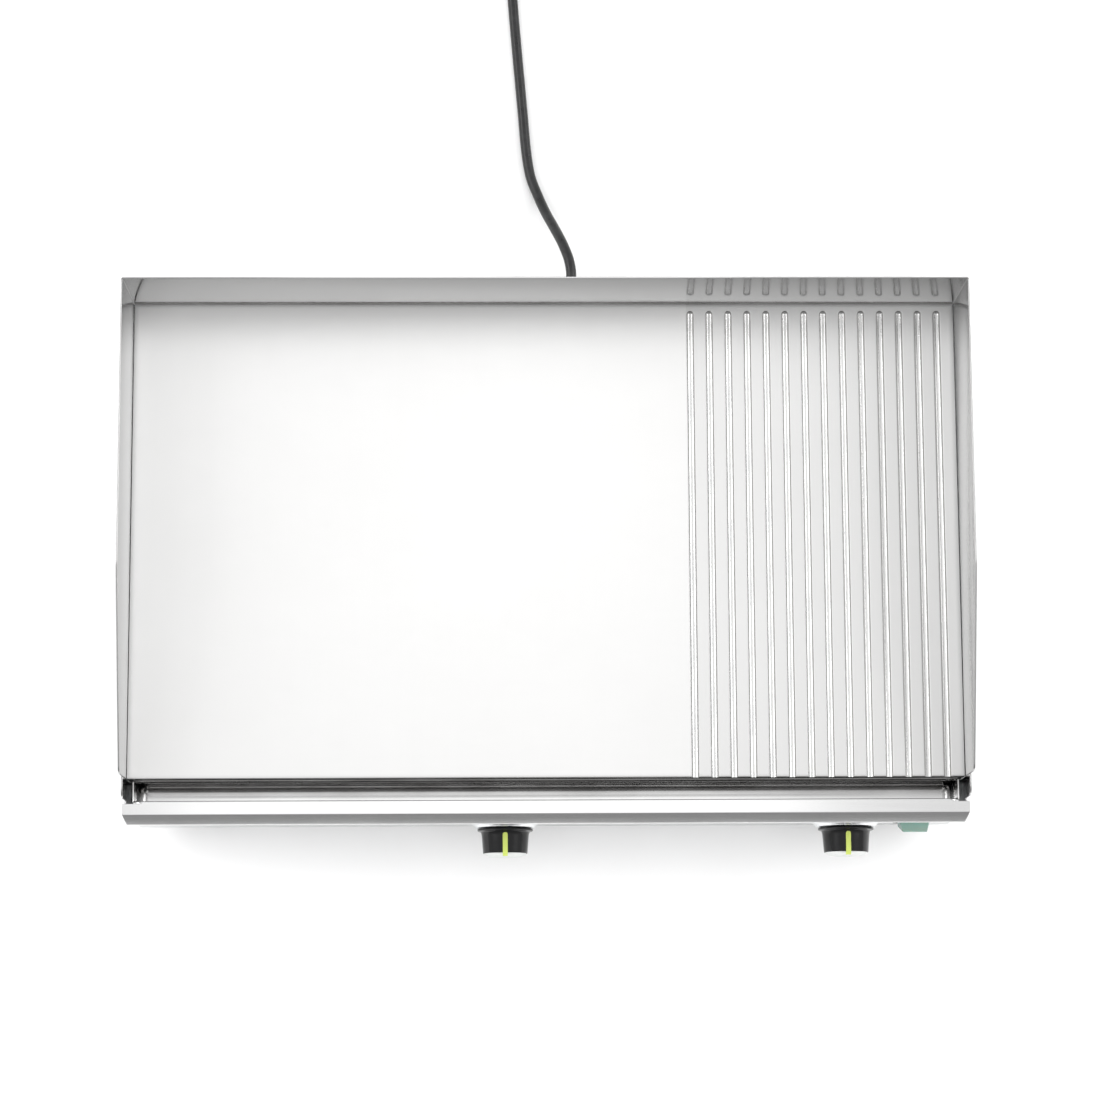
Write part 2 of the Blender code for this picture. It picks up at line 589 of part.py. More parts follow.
# ---------------------------------------------------------------- heating
def build_element(side, zone_x):
    """A sheathed element bent into four runs under the plate, with both cold ends at the front."""
    pitch, near, far, ends = 0.080, behind(0.085), behind(0.345), behind(0.012)
    bend = pitch / 2
    path = [(-1.5 * pitch, ends)]
    path += arc((-pitch, far), bend, 180, 0, 8)
    path += arc((0.0, near), bend, -180, 0, 8)
    path += arc((pitch, far), bend, 180, 0, 8)
    path.append((1.5 * pitch, ends))
    tube(f"{side}_element", [(zone_x + x, y, ELEMENT_Z) for x, y in path], ELEMENT_RADIUS, "element_sheath")
    top = ELEMENT_Z - ELEMENT_RADIUS - GAP
    block(f"{side}_element_clamp", (zone_x - 0.150, behind(0.250), top - 0.003),
          (zone_x + 0.150, behind(0.270), top), "galvanised_sheet")


def build_heat_guard():
    """A board of insulation under the elements, in a shallow tray of thin sheet."""
    block("insulation_board", (-0.343, behind(0.045), 0.1206), (0.343, behind(0.395), 0.1318),
          "insulation_wool")
    half, near, far, floor, rim = 0.3435, behind(0.044), behind(0.396), 0.1203, 0.1300
    around = ((-half, near), (half, near), (half, far), (-half, far))
    corners = [(x, y, z) for z in (floor, rim) for x, y in around]
    faces = [(0, 1, 2, 3), (0, 4, 5, 1), (1, 5, 6, 2), (2, 6, 7, 3), (3, 7, 4, 0)]
    sheet_metal("heat_shield", corners, faces, 0.0008, "galvanised_sheet")


def build_terminals():
    """The terminal block and the over-temperature cut-out, on the floor plate."""
    block("terminal_block", (0.060, 0.170, FLOOR_PLATE_TOP + GAP), (0.125, 0.192, 0.052), "ceramic_white")
    block("safety_cutout", (0.160, 0.150, FLOOR_PLATE_TOP + GAP), (0.190, 0.190, 0.062), "thermostat_grey")


# ---------------------------------------------------------------- supply cord
def build_cord():
    exit_place = (CORD_X, COVER_OUTER, CORD_Z)
    gland = [(0.0053, GLAND_LENGTH), (0.0085, GLAND_LENGTH), (0.0110, 0.0135), (0.0120, 0.0060),
             (0.0120, GAP), (0.0080, GAP), (0.0080, -0.0100), (0.0053, -0.0100)]
    turned("cord_gland", gland, "knob_black", exit_place, TO_REAR, steps=24, ring=True)
    relief_start = GLAND_LENGTH + GAP
    relief_end = relief_start + RELIEF_LENGTH
    relief = [(0.0, relief_end), (0.0056, relief_end), (0.0082, relief_start), (0.0, relief_start)]
    turned("cord_relief", relief, "cord_rubber", exit_place, TO_REAR, steps=20)
    spacing = 2.2 * 2 * CORD_RADIUS
    tube("supply_cord", smooth_route(CORD_ROUTE, spacing), CORD_RADIUS, "cord_rubber", resolution=3)

    coil = [(COIL_INNER, COIL_HEIGHT), (COIL_OUTER, COIL_HEIGHT), (COIL_OUTER, 0.0001), (COIL_INNER, 0.0001)]
    turned("cord_coil", coil, "cord_rubber", (*COIL_CENTRE, 0.0), steps=40, ring=True)

    # The cord leaves the coil's outer turn in a straight line, and the plug starts clear of the coil.
    turn_radius = COIL_OUTER - CORD_RADIUS
    plug_start = sqrt((COIL_OUTER + 2 * CORD_RADIUS) ** 2 - turn_radius ** 2)
    place = (COIL_CENTRE[0] + plug_start, COIL_CENTRE[1] + turn_radius, PLUG_RADIUS + 0.0002)
    plug = [(0.0, 0.084), (0.0165, 0.084), (0.0185, 0.082), (PLUG_RADIUS, 0.078), (PLUG_RADIUS, 0.068),
            (0.0150, 0.060), (0.0135, 0.045), (0.0105, 0.034), (0.0075, 0.031), (0.0055, 0.0), (0.0, 0.0)]
    turned("plug_body", plug, "plug_rubber", place, TO_RIGHT, steps=28)
    pin = [(0.0, 0.0190), (0.0016, 0.0188), (0.0024, 0.0175), (0.0024, 0.0), (0.0, 0.0)]
    for name, offset in (("near", -0.0095), ("far", 0.0095)):
        turned(f"plug_pin_{name}", pin, "pin_brass", (place[0] + 0.084 + GAP, place[1] + offset, place[2]),
               TO_RIGHT, steps=12)


# ---------------------------------------------------------------- assembly
build_plate()
build_splash_guard()
build_cheeks()
build_tray()
build_rear_cover([build_side_panel("left", -1), build_side_panel("right", 1)])
build_front_panel()
build_floor_plate()
build_feet()
for zone in KNOB_X:
    build_knob(zone, KNOB_X[zone])
    build_thermostat(zone, KNOB_X[zone], ZONE_X[zone])
    build_element(zone, ZONE_X[zone])
build_switch()
build_heat_guard()
build_terminals()
build_cord()
bpy.context.view_layer.update()
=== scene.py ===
"""Finished look of a countertop electric griddle: ground steel plate with a grooved zone, folded
stainless splash guard and grease tray, moulded controls, casing, heating and supply cord.

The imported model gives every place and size. Each operator below makes one piece or one group of
like pieces round it. Metres, +Z up, the front of the griddle faces -Y.
"""
import json

import bmesh
import bpy
import numpy as np
from bpy.props import FloatProperty, FloatVectorProperty, IntProperty, PointerProperty
from mathutils import Euler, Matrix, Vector

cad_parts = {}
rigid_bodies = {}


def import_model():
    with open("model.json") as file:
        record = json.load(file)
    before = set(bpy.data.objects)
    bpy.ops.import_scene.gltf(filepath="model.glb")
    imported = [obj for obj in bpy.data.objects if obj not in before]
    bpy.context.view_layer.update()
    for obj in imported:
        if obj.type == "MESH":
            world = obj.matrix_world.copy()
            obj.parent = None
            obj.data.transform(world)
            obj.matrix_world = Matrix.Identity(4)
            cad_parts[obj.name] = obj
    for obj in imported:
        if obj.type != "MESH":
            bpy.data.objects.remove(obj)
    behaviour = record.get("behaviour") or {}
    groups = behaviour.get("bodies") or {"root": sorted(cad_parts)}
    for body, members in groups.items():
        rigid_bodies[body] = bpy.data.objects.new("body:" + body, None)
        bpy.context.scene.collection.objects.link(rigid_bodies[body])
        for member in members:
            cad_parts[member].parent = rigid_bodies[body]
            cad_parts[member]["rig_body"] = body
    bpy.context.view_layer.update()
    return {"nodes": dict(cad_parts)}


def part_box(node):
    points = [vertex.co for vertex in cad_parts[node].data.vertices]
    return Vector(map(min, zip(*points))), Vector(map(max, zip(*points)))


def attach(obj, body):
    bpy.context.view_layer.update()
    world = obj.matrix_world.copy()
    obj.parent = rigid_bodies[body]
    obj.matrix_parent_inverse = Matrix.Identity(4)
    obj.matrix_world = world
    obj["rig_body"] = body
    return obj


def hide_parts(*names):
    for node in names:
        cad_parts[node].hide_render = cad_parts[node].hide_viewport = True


bl_info = {
    "name": "Countertop griddle",
    "version": (1, 0, 0),
    "blender": (4, 5, 0),
    "location": "3D View > Sidebar > Griddle",
    "description": "Finished pieces and studio for a countertop electric griddle",
    "category": "Object",
}

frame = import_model()

SIDES = ("left", "right")
X_AXIS, Y_AXIS, Z_AXIS = np.eye(3)
SHARP = np.radians(35)


def box(node):
    """Lowest and highest corner of a CAD node as two arrays."""
    low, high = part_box(node)
    return np.array(low), np.array(high)


def middle(node):
    """Centre of a CAD node's box."""
    return sum(box(node)) / 2


PLATE_LOW, PLATE_HIGH = box("griddle_plate")
PLATE_TOP = float(PLATE_HIGH[2])
TRAY_LOW, TRAY_HIGH = box("grease_tray")
PANEL_GAP = 0.0003  # between a panel and what is fixed on it


# ---------------------------------------------------------------- what a user would change
def length_property(name, description, default):
    return FloatProperty(name=name, description=description, default=default, unit="LENGTH")


def colour_property(name, description, *default):
    return FloatVectorProperty(name=name, description=description, default=default, subtype="COLOR")


class GriddleSizes(bpy.types.PropertyGroup):
    """Sizes of the details that the finished pieces add"""

    groove_count: IntProperty(name="Grooves", description="Grooves in the ribbed zone", default=14)
    groove_pitch: length_property("Groove pitch", "From one groove to the next", 0.0168)
    first_groove: length_property("First groove", "X of the leftmost groove", 0.1285)
    groove_radius: length_property("Groove radius", "Radius of the round-bottomed grooves", 0.0031)
    plate_edge: length_property("Plate edge", "Rounding of the plate's edges", 0.0008)
    sheet_edge: length_property("Sheet edge", "Rounding of the cut edges of sheet metal", 0.0004)
    bend: length_property("Bend", "Outer radius of a fold in sheet metal", 0.0024)
    cord_diameter: length_property("Cord diameter", "Thickness of the supply cord", 0.0095)
    cord_length: length_property("Cord length", "From the gland to the plug", 1.8)
    coil_turns: FloatProperty(name="Coil turns", description="Turns of the stored cord", default=4.25)


class GriddleColours(bpy.types.PropertyGroup):
    """Colours of the finishes"""

    casing: colour_property("Casing", "Panels round the base", 0.60, 0.605, 0.61)
    rear_wall: colour_property("Rear wall", "Splash guard across the rear", 0.62, 0.62, 0.62)
    side_walls: colour_property("Side walls", "Splash guard at the sides, and cheeks", 0.56, 0.56, 0.56)
    tray: colour_property("Grease tray", "Folded tray and its end plates", 0.84, 0.84, 0.84)
    # Colour of the painted shade on the grease channel's rear wall.
    channel_shade: colour_property("Painted channel shade", "Painted shade on the channel's rear wall", 0.30, 0.295, 0.29)
    plate: colour_property("Cooking plate", "Ground steel", 0.835, 0.833, 0.828)
    zinc: colour_property("Zinc-coated sheet", "Inner sheet metal", 0.55, 0.57, 0.58)
    bezel: colour_property("Bezel", "Turned rings behind the knobs", 0.80, 0.81, 0.82)
    cap: colour_property("Cap", "Discs on the knobs", 0.66, 0.67, 0.66)
    knob: colour_property("Knob", "Moulded knobs", 0.005, 0.005, 0.0055)
    pointer: colour_property("Pointer", "Inlay of the knobs", 0.50, 0.59, 0.12)
    rocker: colour_property("Rocker", "Translucent rocker", 0.27, 0.47, 0.41)
    cord: colour_property("Cord", "Rubber sheath", 0.007, 0.007, 0.0075)
    floor: colour_property("Floor", "Studio floor", 0.92, 0.92, 0.92)


def sizes():
    return bpy.context.scene.griddle_sizes


def colours():
    return bpy.context.scene.griddle_colours


# ---------------------------------------------------------------- materials
class Finish:
    """A material in the making: one Principled shader and the nodes that feed it."""

    def __init__(self, name, colour, roughness, metallic=0.0, **constants):
        self.material = bpy.data.materials.new(name)
        self.material.use_nodes = True
        self.tree = self.material.node_tree
        self.shader = self.tree.nodes["Principled BSDF"]
        self.set(**{"Base Color": (*colour, 1.0), "Roughness": roughness, "Metallic": metallic})
        self.set(**constants)
        self.colour = tuple(colour)
        self.material.diffuse_color = (*colour, 1.0)

    def set(self, **values):
        """Constants of the shader's sockets, by name, with _ for a space."""
        for name, value in values.items():
            self.shader.inputs[name.replace("_", " ")].default_value = value

    def node(self, kind, **inputs):
        """A new node whose named sockets are fed with constants or other sockets."""
        made = self.tree.nodes.new(kind)
        for name, value in inputs.items():
            self.feed(made.inputs[name.replace("_", " ")], value)
        return made

    def feed(self, socket, value):
        if isinstance(value, bpy.types.NodeSocket):
            self.tree.links.new(value, socket)
        else:
            socket.default_value = value

    def place(self, stretch=(1.0, 1.0, 1.0), turn=(0.0, 0.0, 0.0), centre=(0.0, 0.0, 0.0)):
        """Object coordinates, moved so that centre is the origin, turned and stretched."""
        coordinates = self.tree.nodes.new("ShaderNodeTexCoord").outputs["Object"]
        moved = self.node("ShaderNodeVectorMath", Vector=coordinates)
        moved.operation = "SUBTRACT"
        moved.inputs[1].default_value = centre
        made = self.node("ShaderNodeMapping", Vector=moved.outputs[0], Scale=stretch, Rotation=turn)
        return made.outputs[0]

    def along(self, axis):
        """Object coordinate along X (0), Y (1) or Z (2), in metres."""
        return self.node("ShaderNodeSeparateXYZ", Vector=self.place()).outputs[axis]

    def noise(self, stretch, detail=3.0, roughness=0.5, distortion=0.0, turn=(0.0, 0.0, 0.0)):
        """Noise with about stretch features to the metre, given once or for X, Y and Z."""
        vector = self.place(np.broadcast_to(stretch, 3), turn)
        made = self.node("ShaderNodeTexNoise", Vector=vector, Scale=1.0, Detail=detail, Roughness=roughness,
                         Distortion=distortion)
        return made.outputs["Fac"]

    def remap(self, value, low, high, from_low=0.3, from_high=0.7):
        """Low to high as value goes from from_low to from_high, and no further."""
        made = self.node("ShaderNodeMapRange", Value=value, From_Min=from_low, From_Max=from_high, To_Min=low,
                         To_Max=high)
        return made.outputs[0]

    def maths(self, operation, first, second=0.0):
        made = self.tree.nodes.new("ShaderNodeMath")
        made.operation = operation
        self.feed(made.inputs[0], first)
        self.feed(made.inputs[1], second)
        return made.outputs[0]

    def mix(self, factor, first, second):
        """Base colour from first to second as factor goes from 0 to 1, each a colour or a socket."""
        made = self.tree.nodes.new("ShaderNodeMix")
        made.data_type = "RGBA"
        for socket, value in zip((0, 6, 7), (factor, first, second)):  # factor, A and B for colours
            self.feed(made.inputs[socket], value)
        self.tree.links.new(made.outputs[2], self.shader.inputs["Base Color"])

    def shade(self, factor, dark, light):
        """Base colour from dark to light times itself as factor goes from 0 to 1."""
        self.mix(factor, *[(*[min(c * share, 1.0) for c in self.colour], 1.0) for share in (dark, light)])

    def rough(self, value):
        self.tree.links.new(value, self.shader.inputs["Roughness"])

    def bump(self, height, distance, strength=1.0):
        """Adds a relief of this depth over any that is there already."""
        made = self.node("ShaderNodeBump", Height=height, Distance=distance, Strength=strength)
        normal = self.shader.inputs["Normal"]
        if normal.links:
            self.tree.links.new(normal.links[0].from_socket, made.inputs["Normal"])
        self.tree.links.new(made.outputs[0], normal)


GRAIN_X = (6.0, 1500.0, 1500.0)
GRAIN_Y = (1500.0, 6.0, 1500.0)
NO_GRAIN = (400.0, 400.0, 400.0)


def brushed(name, colour, grain, roughness, waviness=0.0004, contrast=0.07):
    """Satin sheet: fine streaks along the grain, faint clouding, and a slight unevenness of the sheet.

    grain is the stretch of the streak pattern along X, Y and Z: small along the grain.
    """
    finish = Finish(name, colour, roughness, 1.0)
    streaks = finish.noise(grain, 4.0, 0.7)
    cloud = finish.noise(9.0, 3.0, 0.6)
    finish.shade(streaks, 0.95, 1.05)
    fine = finish.remap(streaks, roughness - contrast / 2, roughness + contrast / 2)
    finish.rough(finish.maths("ADD", fine, finish.remap(cloud, -0.02, 0.02)))
    finish.bump(streaks, 0.000005, 0.5)
    if waviness:
        finish.bump(finish.noise((4.0, 4.0, 6.0), 1.0), waviness)
    return finish


def plate_steel():
    """Ground plate: grain along Y, faint slanting polishing marks, a duller ribbed zone, painted shade in the
    grooves.
    """
    finish = Finish("ground_plate_steel", colours().plate, 0.24, 1.0)
    grain = finish.noise((2600.0, 9.0, 900.0), 3.0, 0.7)
    marks = finish.noise((40.0, 900.0, 60.0), 3.0, 0.7, turn=(0.0, 0.0, 0.35))
    cloud = finish.noise((5.0, 7.0, 5.0), 4.0, 0.6)
    start = sizes().first_groove - sizes().groove_radius - 0.0006
    ribbed = finish.remap(finish.along(0), 0.0, 1.0, start, start + 0.0004)
    inside = finish.remap(finish.along(2), 1.0, 0.0, PLATE_TOP - 0.0007, PLATE_TOP - 0.0002)
    land = finish.maths("SUBTRACT", ribbed, inside)
    tone = finish.maths("SUBTRACT", finish.remap(cloud, 0.80, 0.90), finish.maths("MULTIPLY", land, 0.35))
    # Painted shade: inside the grooves the base colour is darkened.
    finish.shade(finish.maths("SUBTRACT", tone, finish.maths("MULTIPLY", inside, 0.75)), 0.80, 1.06)
    rough = finish.maths("ADD", finish.remap(grain, 0.33, 0.37), finish.maths("MULTIPLY", inside, -0.10))
    finish.rough(finish.maths("ADD", rough, finish.remap(marks, -0.015, 0.015)))
    finish.bump(grain, 0.000004, 0.4)
    finish.bump(marks, 0.000002, 0.3)
    return finish


def tray_steel():
    """Bright folded sheet, with painted shade darkening it in patches from the channel's front wall to its
    rear one.
    """
    finish = brushed("stainless_tray", colours().tray, GRAIN_X, 0.17, 0.0005, 0.06)
    unshaded = finish.shader.inputs["Base Color"].links[0].from_socket
    rear = float(TRAY_HIGH[1])
    # Painted shade: the base colour darkens in patches towards the channel's rear wall.
    channel_shade_mask = finish.remap(finish.along(1), 0.0, 1.0, rear - 0.0175, rear - 0.0050)
    patchy = finish.remap(finish.noise((22.0, 60.0, 60.0)), 0.72, 1.0)
    finish.mix(finish.maths("MULTIPLY", channel_shade_mask, patchy), unshaded, (*colours().channel_shade, 1.0))
    return finish


def turned_metal(name, colour, roughness, centre, pitch):
    """Metal faced on a lathe: concentric rings round a Y axis through centre, pitch apart."""
    finish = Finish(name, colour, roughness, 1.0)
    distance = finish.node("ShaderNodeVectorMath", Vector=finish.place((1.0, 0.0, 1.0), centre=tuple(centre)))
    distance.operation = "LENGTH"
    wave = finish.maths("SINE", finish.maths("MULTIPLY", distance.outputs["Value"], 2 * np.pi / pitch))
    streaks = finish.noise(300.0)
    finish.rough(finish.remap(streaks, roughness - 0.05, roughness + 0.06))
    finish.bump(wave, 0.000015, 0.6)
    finish.shade(streaks, 0.94, 1.05)
    return finish


def zinc_sheet():
    """Hot-dip zinc: angular crystals of slightly different greys."""
    finish = Finish("zinc_sheet", colours().zinc, 0.42, 0.9)
    cells = finish.node("ShaderNodeTexVoronoi", Vector=finish.place(), Scale=130.0)
    tint = finish.node("ShaderNodeSeparateColor", Color=cells.outputs["Color"])
    finish.shade(tint.outputs[0], 0.86, 1.12)
    finish.rough(finish.remap(tint.outputs[1], 0.36, 0.52, 0.0, 1.0))
    finish.bump(cells.outputs["Distance"], 0.00002, 0.3)
    return finish


def moulded(name, colour, roughness, grain=0.00002, **constants):
    """Moulded plastic: fine spark-eroded texture and a soft variation of the gloss."""
    finish = Finish(name, colour, roughness, 0.0, **constants)
    cloud = finish.noise(45.0, 4.0)
    finish.rough(finish.remap(cloud, roughness - 0.05, roughness + 0.07))
    finish.shade(cloud, 0.90, 1.12)
    finish.bump(finish.noise(1600.0, 2.0), grain, 0.5)
    return finish


def rubber(name, colour, roughness, speckle_sheen):
    """Rubber: matt, with pale specks painted in its colour as a speckled sheen, and a pebbled skin."""
    finish = Finish(name, colour, roughness, 0.0, Sheen_Weight=0.02, Sheen_Roughness=0.5)
    sheen_specks = finish.noise(160.0, 5.0, 0.7)
    # Painted sheen: pale specks in the base colour.
    finish.shade(finish.remap(sheen_specks, 0.0, 1.0, 0.45, 0.72), 0.75, speckle_sheen)
    finish.rough(finish.remap(sheen_specks, roughness - 0.12, roughness + 0.12))
    finish.bump(finish.noise(620.0, 3.0, 0.6), 0.00016, 0.8)
    return finish


def heated_sheath():
    """Element sheath: oxidised nickel alloy, brown to straw in bands along its length."""
    finish = Finish("heated_sheath", (0.26, 0.23, 0.19), 0.46, 0.9)
    bands = finish.noise((9.0, 26.0, 9.0), 4.0, 0.6)
    finish.shade(bands, 0.55, 1.45)
    finish.rough(finish.remap(bands, 0.36, 0.56))
    finish.bump(finish.noise(700.0, 2.0), 0.00003, 0.6)
    return finish


def pressed_wool():
    """Pressed mineral fibre: matted strands, with painted shade in the hollows."""
    finish = Finish("pressed_wool", (0.70, 0.66, 0.56), 0.95)
    strands = finish.noise(240.0, 6.0, 0.75, 1.5)
    # Painted shade: the colour darkens where the strands' relief is low.
    finish.shade(strands, 0.62, 1.18)
    finish.bump(strands, 0.0008, 0.8)
    return finish


def porcelain():
    """Unglazed porcelain: pale, with fine specks."""
    finish = Finish("unglazed_porcelain", (0.84, 0.83, 0.79), 0.55, 0.0, Specular_IOR_Level=0.4)
    specks = finish.noise(380.0, 4.0)
    finish.shade(specks, 0.90, 1.04)
    finish.bump(specks, 0.00004, 0.5)
    return finish


class Finishes:
    """Every finish, made once, when it is first asked for."""

    makers = {
        "sheet_x": lambda: brushed("stainless_grain_x", colours().casing, GRAIN_X, 0.27),
        "sheet_y": lambda: brushed("stainless_grain_y", colours().casing, GRAIN_Y, 0.27),
        "guard_x": lambda: brushed("stainless_guard_x", colours().rear_wall, GRAIN_X, 0.13, 0.0002, 0.05),
        "guard_y": lambda: brushed("stainless_guard_y", colours().side_walls, GRAIN_Y, 0.16, 0.0002, 0.05),
        "tray": tray_steel,
        "plate": plate_steel,
        "zinc": zinc_sheet,
        "knob": lambda: moulded("knob_plastic", colours().knob, 0.18, 0.000004, Specular_IOR_Level=0.36),
        "pointer": lambda: moulded("pointer_lime", colours().pointer, 0.42),
        "rocker": lambda: moulded("rocker_green", colours().rocker, 0.24, 0.00001,
                                  Transmission_Weight=0.25, Subsurface_Weight=0.15),
        "housing": lambda: moulded("switch_plastic", (0.016, 0.022, 0.020), 0.38),
        "moulding": lambda: moulded("grey_moulding", (0.36, 0.36, 0.34), 0.50),
        "gland": lambda: moulded("gland_nylon", (0.03, 0.03, 0.032), 0.44),
        "foot": lambda: rubber("foot_rubber", (0.028, 0.028, 0.029), 0.72, 1.8),
        "cord": lambda: rubber("cord_sheath", colours().cord, 0.36, 3.0),
        "plug": lambda: rubber("plug_rubber", (0.024, 0.024, 0.025), 0.52, 2.0),
        "sheath": heated_sheath,
        "wool": pressed_wool,
        "porcelain": porcelain,
        "pin": lambda: brushed("plated_pin", (0.76, 0.72, 0.60), GRAIN_X, 0.24, 0.0),
        "screw": lambda: brushed("plated_screw", (0.62, 0.62, 0.61), NO_GRAIN, 0.30, 0.0),
    }
    made = {}

    @classmethod
    def get(cls, name):
        """Material of this name, from the maker listed for it."""
        if name not in cls.made:
            cls.made[name] = cls.makers[name]().material
        return cls.made[name]


# ---------------------------------------------------------------- surfaces worked out as arrays
def grid_faces(rows, columns, close_rows=False, close_columns=False):
    """Corner numbers of the four-sided faces of a grid whose points are stored row by row."""
    i = np.arange(rows if close_rows else rows - 1)[:, None]
    j = np.arange(columns if close_columns else columns - 1)[None, :]
    a, b = i * columns + j, i * columns + (j + 1) % columns
    c, d = (i + 1) % rows * columns + (j + 1) % columns, (i + 1) % rows * columns + j
    return np.stack([a, b, c, d], axis=-1).reshape(-1, 4)


def rounded(points, radius, steps=4, closed=False, most=0.45):
    """A flat line with its corners eased: each becomes the parabola that leaves and joins the two
    sides at radius / tan(half the inner angle) from the corner, or at most of the shorter side."""
    points = np.asarray(points, float)
    before, after = np.roll(points, 1, axis=0) - points, np.roll(points, -1, axis=0) - points
    long_a, long_b = np.linalg.norm(before, axis=1), np.linalg.norm(after, axis=1)
    to_a, to_b = before / long_a[:, None], after / long_b[:, None]
    half = np.arccos(np.clip((to_a * to_b).sum(1), -1, 1)) / 2
    cut = np.minimum(np.asarray(radius) / np.tan(np.maximum(half, 0.05)), most * np.minimum(long_a, long_b))
    t = np.linspace(0, 1, steps + 1)[None, :, None]
    corner = points[:, None]
    start, end = corner + (to_a * cut[:, None])[:, None], corner + (to_b * cut[:, None])[:, None]
    line = (1 - t) ** 2 * start + 2 * t * (1 - t) * corner + t ** 2 * end
    if closed:
        return line.reshape(-1, 2)
    return np.concatenate([points[:1], line[1:-1].reshape(-1, 2), points[-1:]])


def outward(outline):
    """Mitred normals of a closed flat outline, pointing out of it."""
    after = np.roll(outline, -1, axis=0)
    sides = [outline - np.roll(outline, 1, axis=0), after - outline]
    turns = [np.stack([d[:, 1], -d[:, 0]], axis=1) / np.linalg.norm(d, axis=1)[:, None] for d in sides]
    area = (outline[:, 0] * after[:, 1] - after[:, 0] * outline[:, 1]).sum()
    mitre = turns[0] + turns[1]
    mitre = mitre / np.maximum(np.linalg.norm(mitre, axis=1)[:, None], 1e-9)
    spread = np.maximum((mitre * turns[0]).sum(1), 0.3)
    return mitre / spread[:, None] * np.sign(area)


def make_mesh(name, points, faces, caps=(), recalculate=True, sharp=SHARP, merge=1e-7):
    """A mesh from arrays: doubles merged, faces of no size dropped, outward faces, smooth shading."""
    mesh = bpy.data.meshes.new(name)
    mesh.from_pydata(np.asarray(points).reshape(-1, 3).tolist(), [],
                     np.asarray(faces).reshape(-1, 4).tolist() + [list(map(int, cap)) for cap in caps])
    shape = bmesh.new()
    shape.from_mesh(mesh)
    bmesh.ops.remove_doubles(shape, verts=shape.verts, dist=merge)
    bmesh.ops.dissolve_degenerate(shape, edges=shape.edges, dist=merge)
    if recalculate:
        bmesh.ops.recalc_face_normals(shape, faces=shape.faces)
    shape.to_mesh(mesh)
    shape.free()
    mesh.shade_smooth()
    mesh.set_sharp_from_angle(angle=sharp)
    return mesh


def tube_mesh(name, points):
    """A tube from rings of points, one ring a row, with a flat face at each end."""
    rows, columns = points.shape[:2]
    ends = [np.arange(columns)[::-1], (rows - 1) * columns + np.arange(columns)]
    return make_mesh(name, points, grid_faces(rows, columns, close_columns=True), ends)


def bead_mesh(name, line, radius, across, upright):
    """A run of weld: round each point of the line a circle of its own radius."""
    angle = np.linspace(0, 2 * np.pi, 12, endpoint=False)[:, None]
    circle = np.cos(angle) * across + np.sin(angle) * upright
    return tube_mesh(name, line[:, None] + radius[:, None, None] * circle)


def add_piece(name, mesh, finish, body, slot, *stands_for):
    """Link a finished piece, let it ride on its body and stand for its CAD nodes."""
    made = bpy.data.objects.new(name, mesh)
    bpy.context.scene.collection.objects.link(made)
    mesh.materials.clear()
    mesh.materials.append(finish if isinstance(finish, bpy.types.Material) else Finishes.get(finish))
    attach(made, body)
    if stands_for:
        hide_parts(*stands_for)
    return made


def turned_points(profile, centre, axis, steps, sides=0):
    """A profile of (radius, height) carried round an axis through centre.

    With sides, the radius is that of a polygon with that many sides and rounded corners.
    """
    profile = np.asarray(profile, float)
    axis = np.asarray(axis, float)
    across = X_AXIS if abs(axis[0]) < 0.5 else Y_AXIS
    upright = np.cross(axis, across)
    angle = np.linspace(0, 2 * np.pi, steps, endpoint=False)
    swell = np.ones(steps)
    if sides:
        wedge = 2 * np.pi / sides
        swell = np.minimum(np.cos(wedge / 2) / np.cos(angle % wedge - wedge / 2), 0.985)
    ring = np.cos(angle)[:, None] * across + np.sin(angle)[:, None] * upright
    return (np.asarray(centre) + profile[:, 1][:, None, None] * axis
            + profile[:, 0][:, None, None] * (ring * swell[:, None])[None])


def turned_mesh(name, profile, centre, axis, steps=64, ring=False):
    """A turned piece. With ring, its profile is closed and it has a hole through it."""
    return make_mesh(name, turned_points(profile, centre, axis, steps),
                     grid_faces(len(profile), steps, ring, True))


def slab_mesh(name, outline, axis, low, high, edge):
    """A flat sheet between two planes across an axis, its rim a half round of the given radius.

    The rim's rings are the outline drawn in by edge * (1 - sin a), at edge * (1 - cos a) from a face.
    """
    outline = np.asarray(outline, float)
    angle = np.linspace(0, np.pi / 2, 4)
    inset = np.concatenate([edge * (1 - np.sin(angle)), edge * (1 - np.sin(angle[::-1]))])
    level = np.concatenate([low + edge * (1 - np.cos(angle)), high - edge * (1 - np.cos(angle[::-1]))])
    flat = outline[None] - inset[:, None, None] * outward(outline)[None]
    return tube_mesh(name, np.insert(flat, axis, level[:, None], axis=2))


def softened(node, finish, slot, width=None, segments=2):
    """A merged copy of a CAD node, its flat faces made whole and its edges eased by a Bevel."""
    source = frame["nodes"][node]
    mesh = source.data.copy()
    shape = bmesh.new()
    shape.from_mesh(mesh)
    bmesh.ops.remove_doubles(shape, verts=shape.verts, dist=1e-6)
    bmesh.ops.dissolve_limit(shape, angle_limit=0.01, verts=shape.verts, edges=shape.edges)
    shape.to_mesh(mesh)
    shape.free()
    mesh.shade_smooth()
    mesh.set_sharp_from_angle(angle=SHARP)
    piece = add_piece(f"{node}_sheet", mesh, finish, source["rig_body"], slot, node)
    bevel = piece.modifiers.new("eased", "BEVEL")
    bevel.width = width or sizes().sheet_edge
    bevel.segments = segments
    bevel.limit_method = "ANGLE"
    bevel.angle_limit = SHARP
    bevel.harden_normals = True
    return piece


def dress(node, finish):
    """Give a CAD node that keeps its own shape a better material."""
    mesh = frame["nodes"][node].data
    mesh.materials.clear()
    mesh.materials.append(Finishes.get(finish))


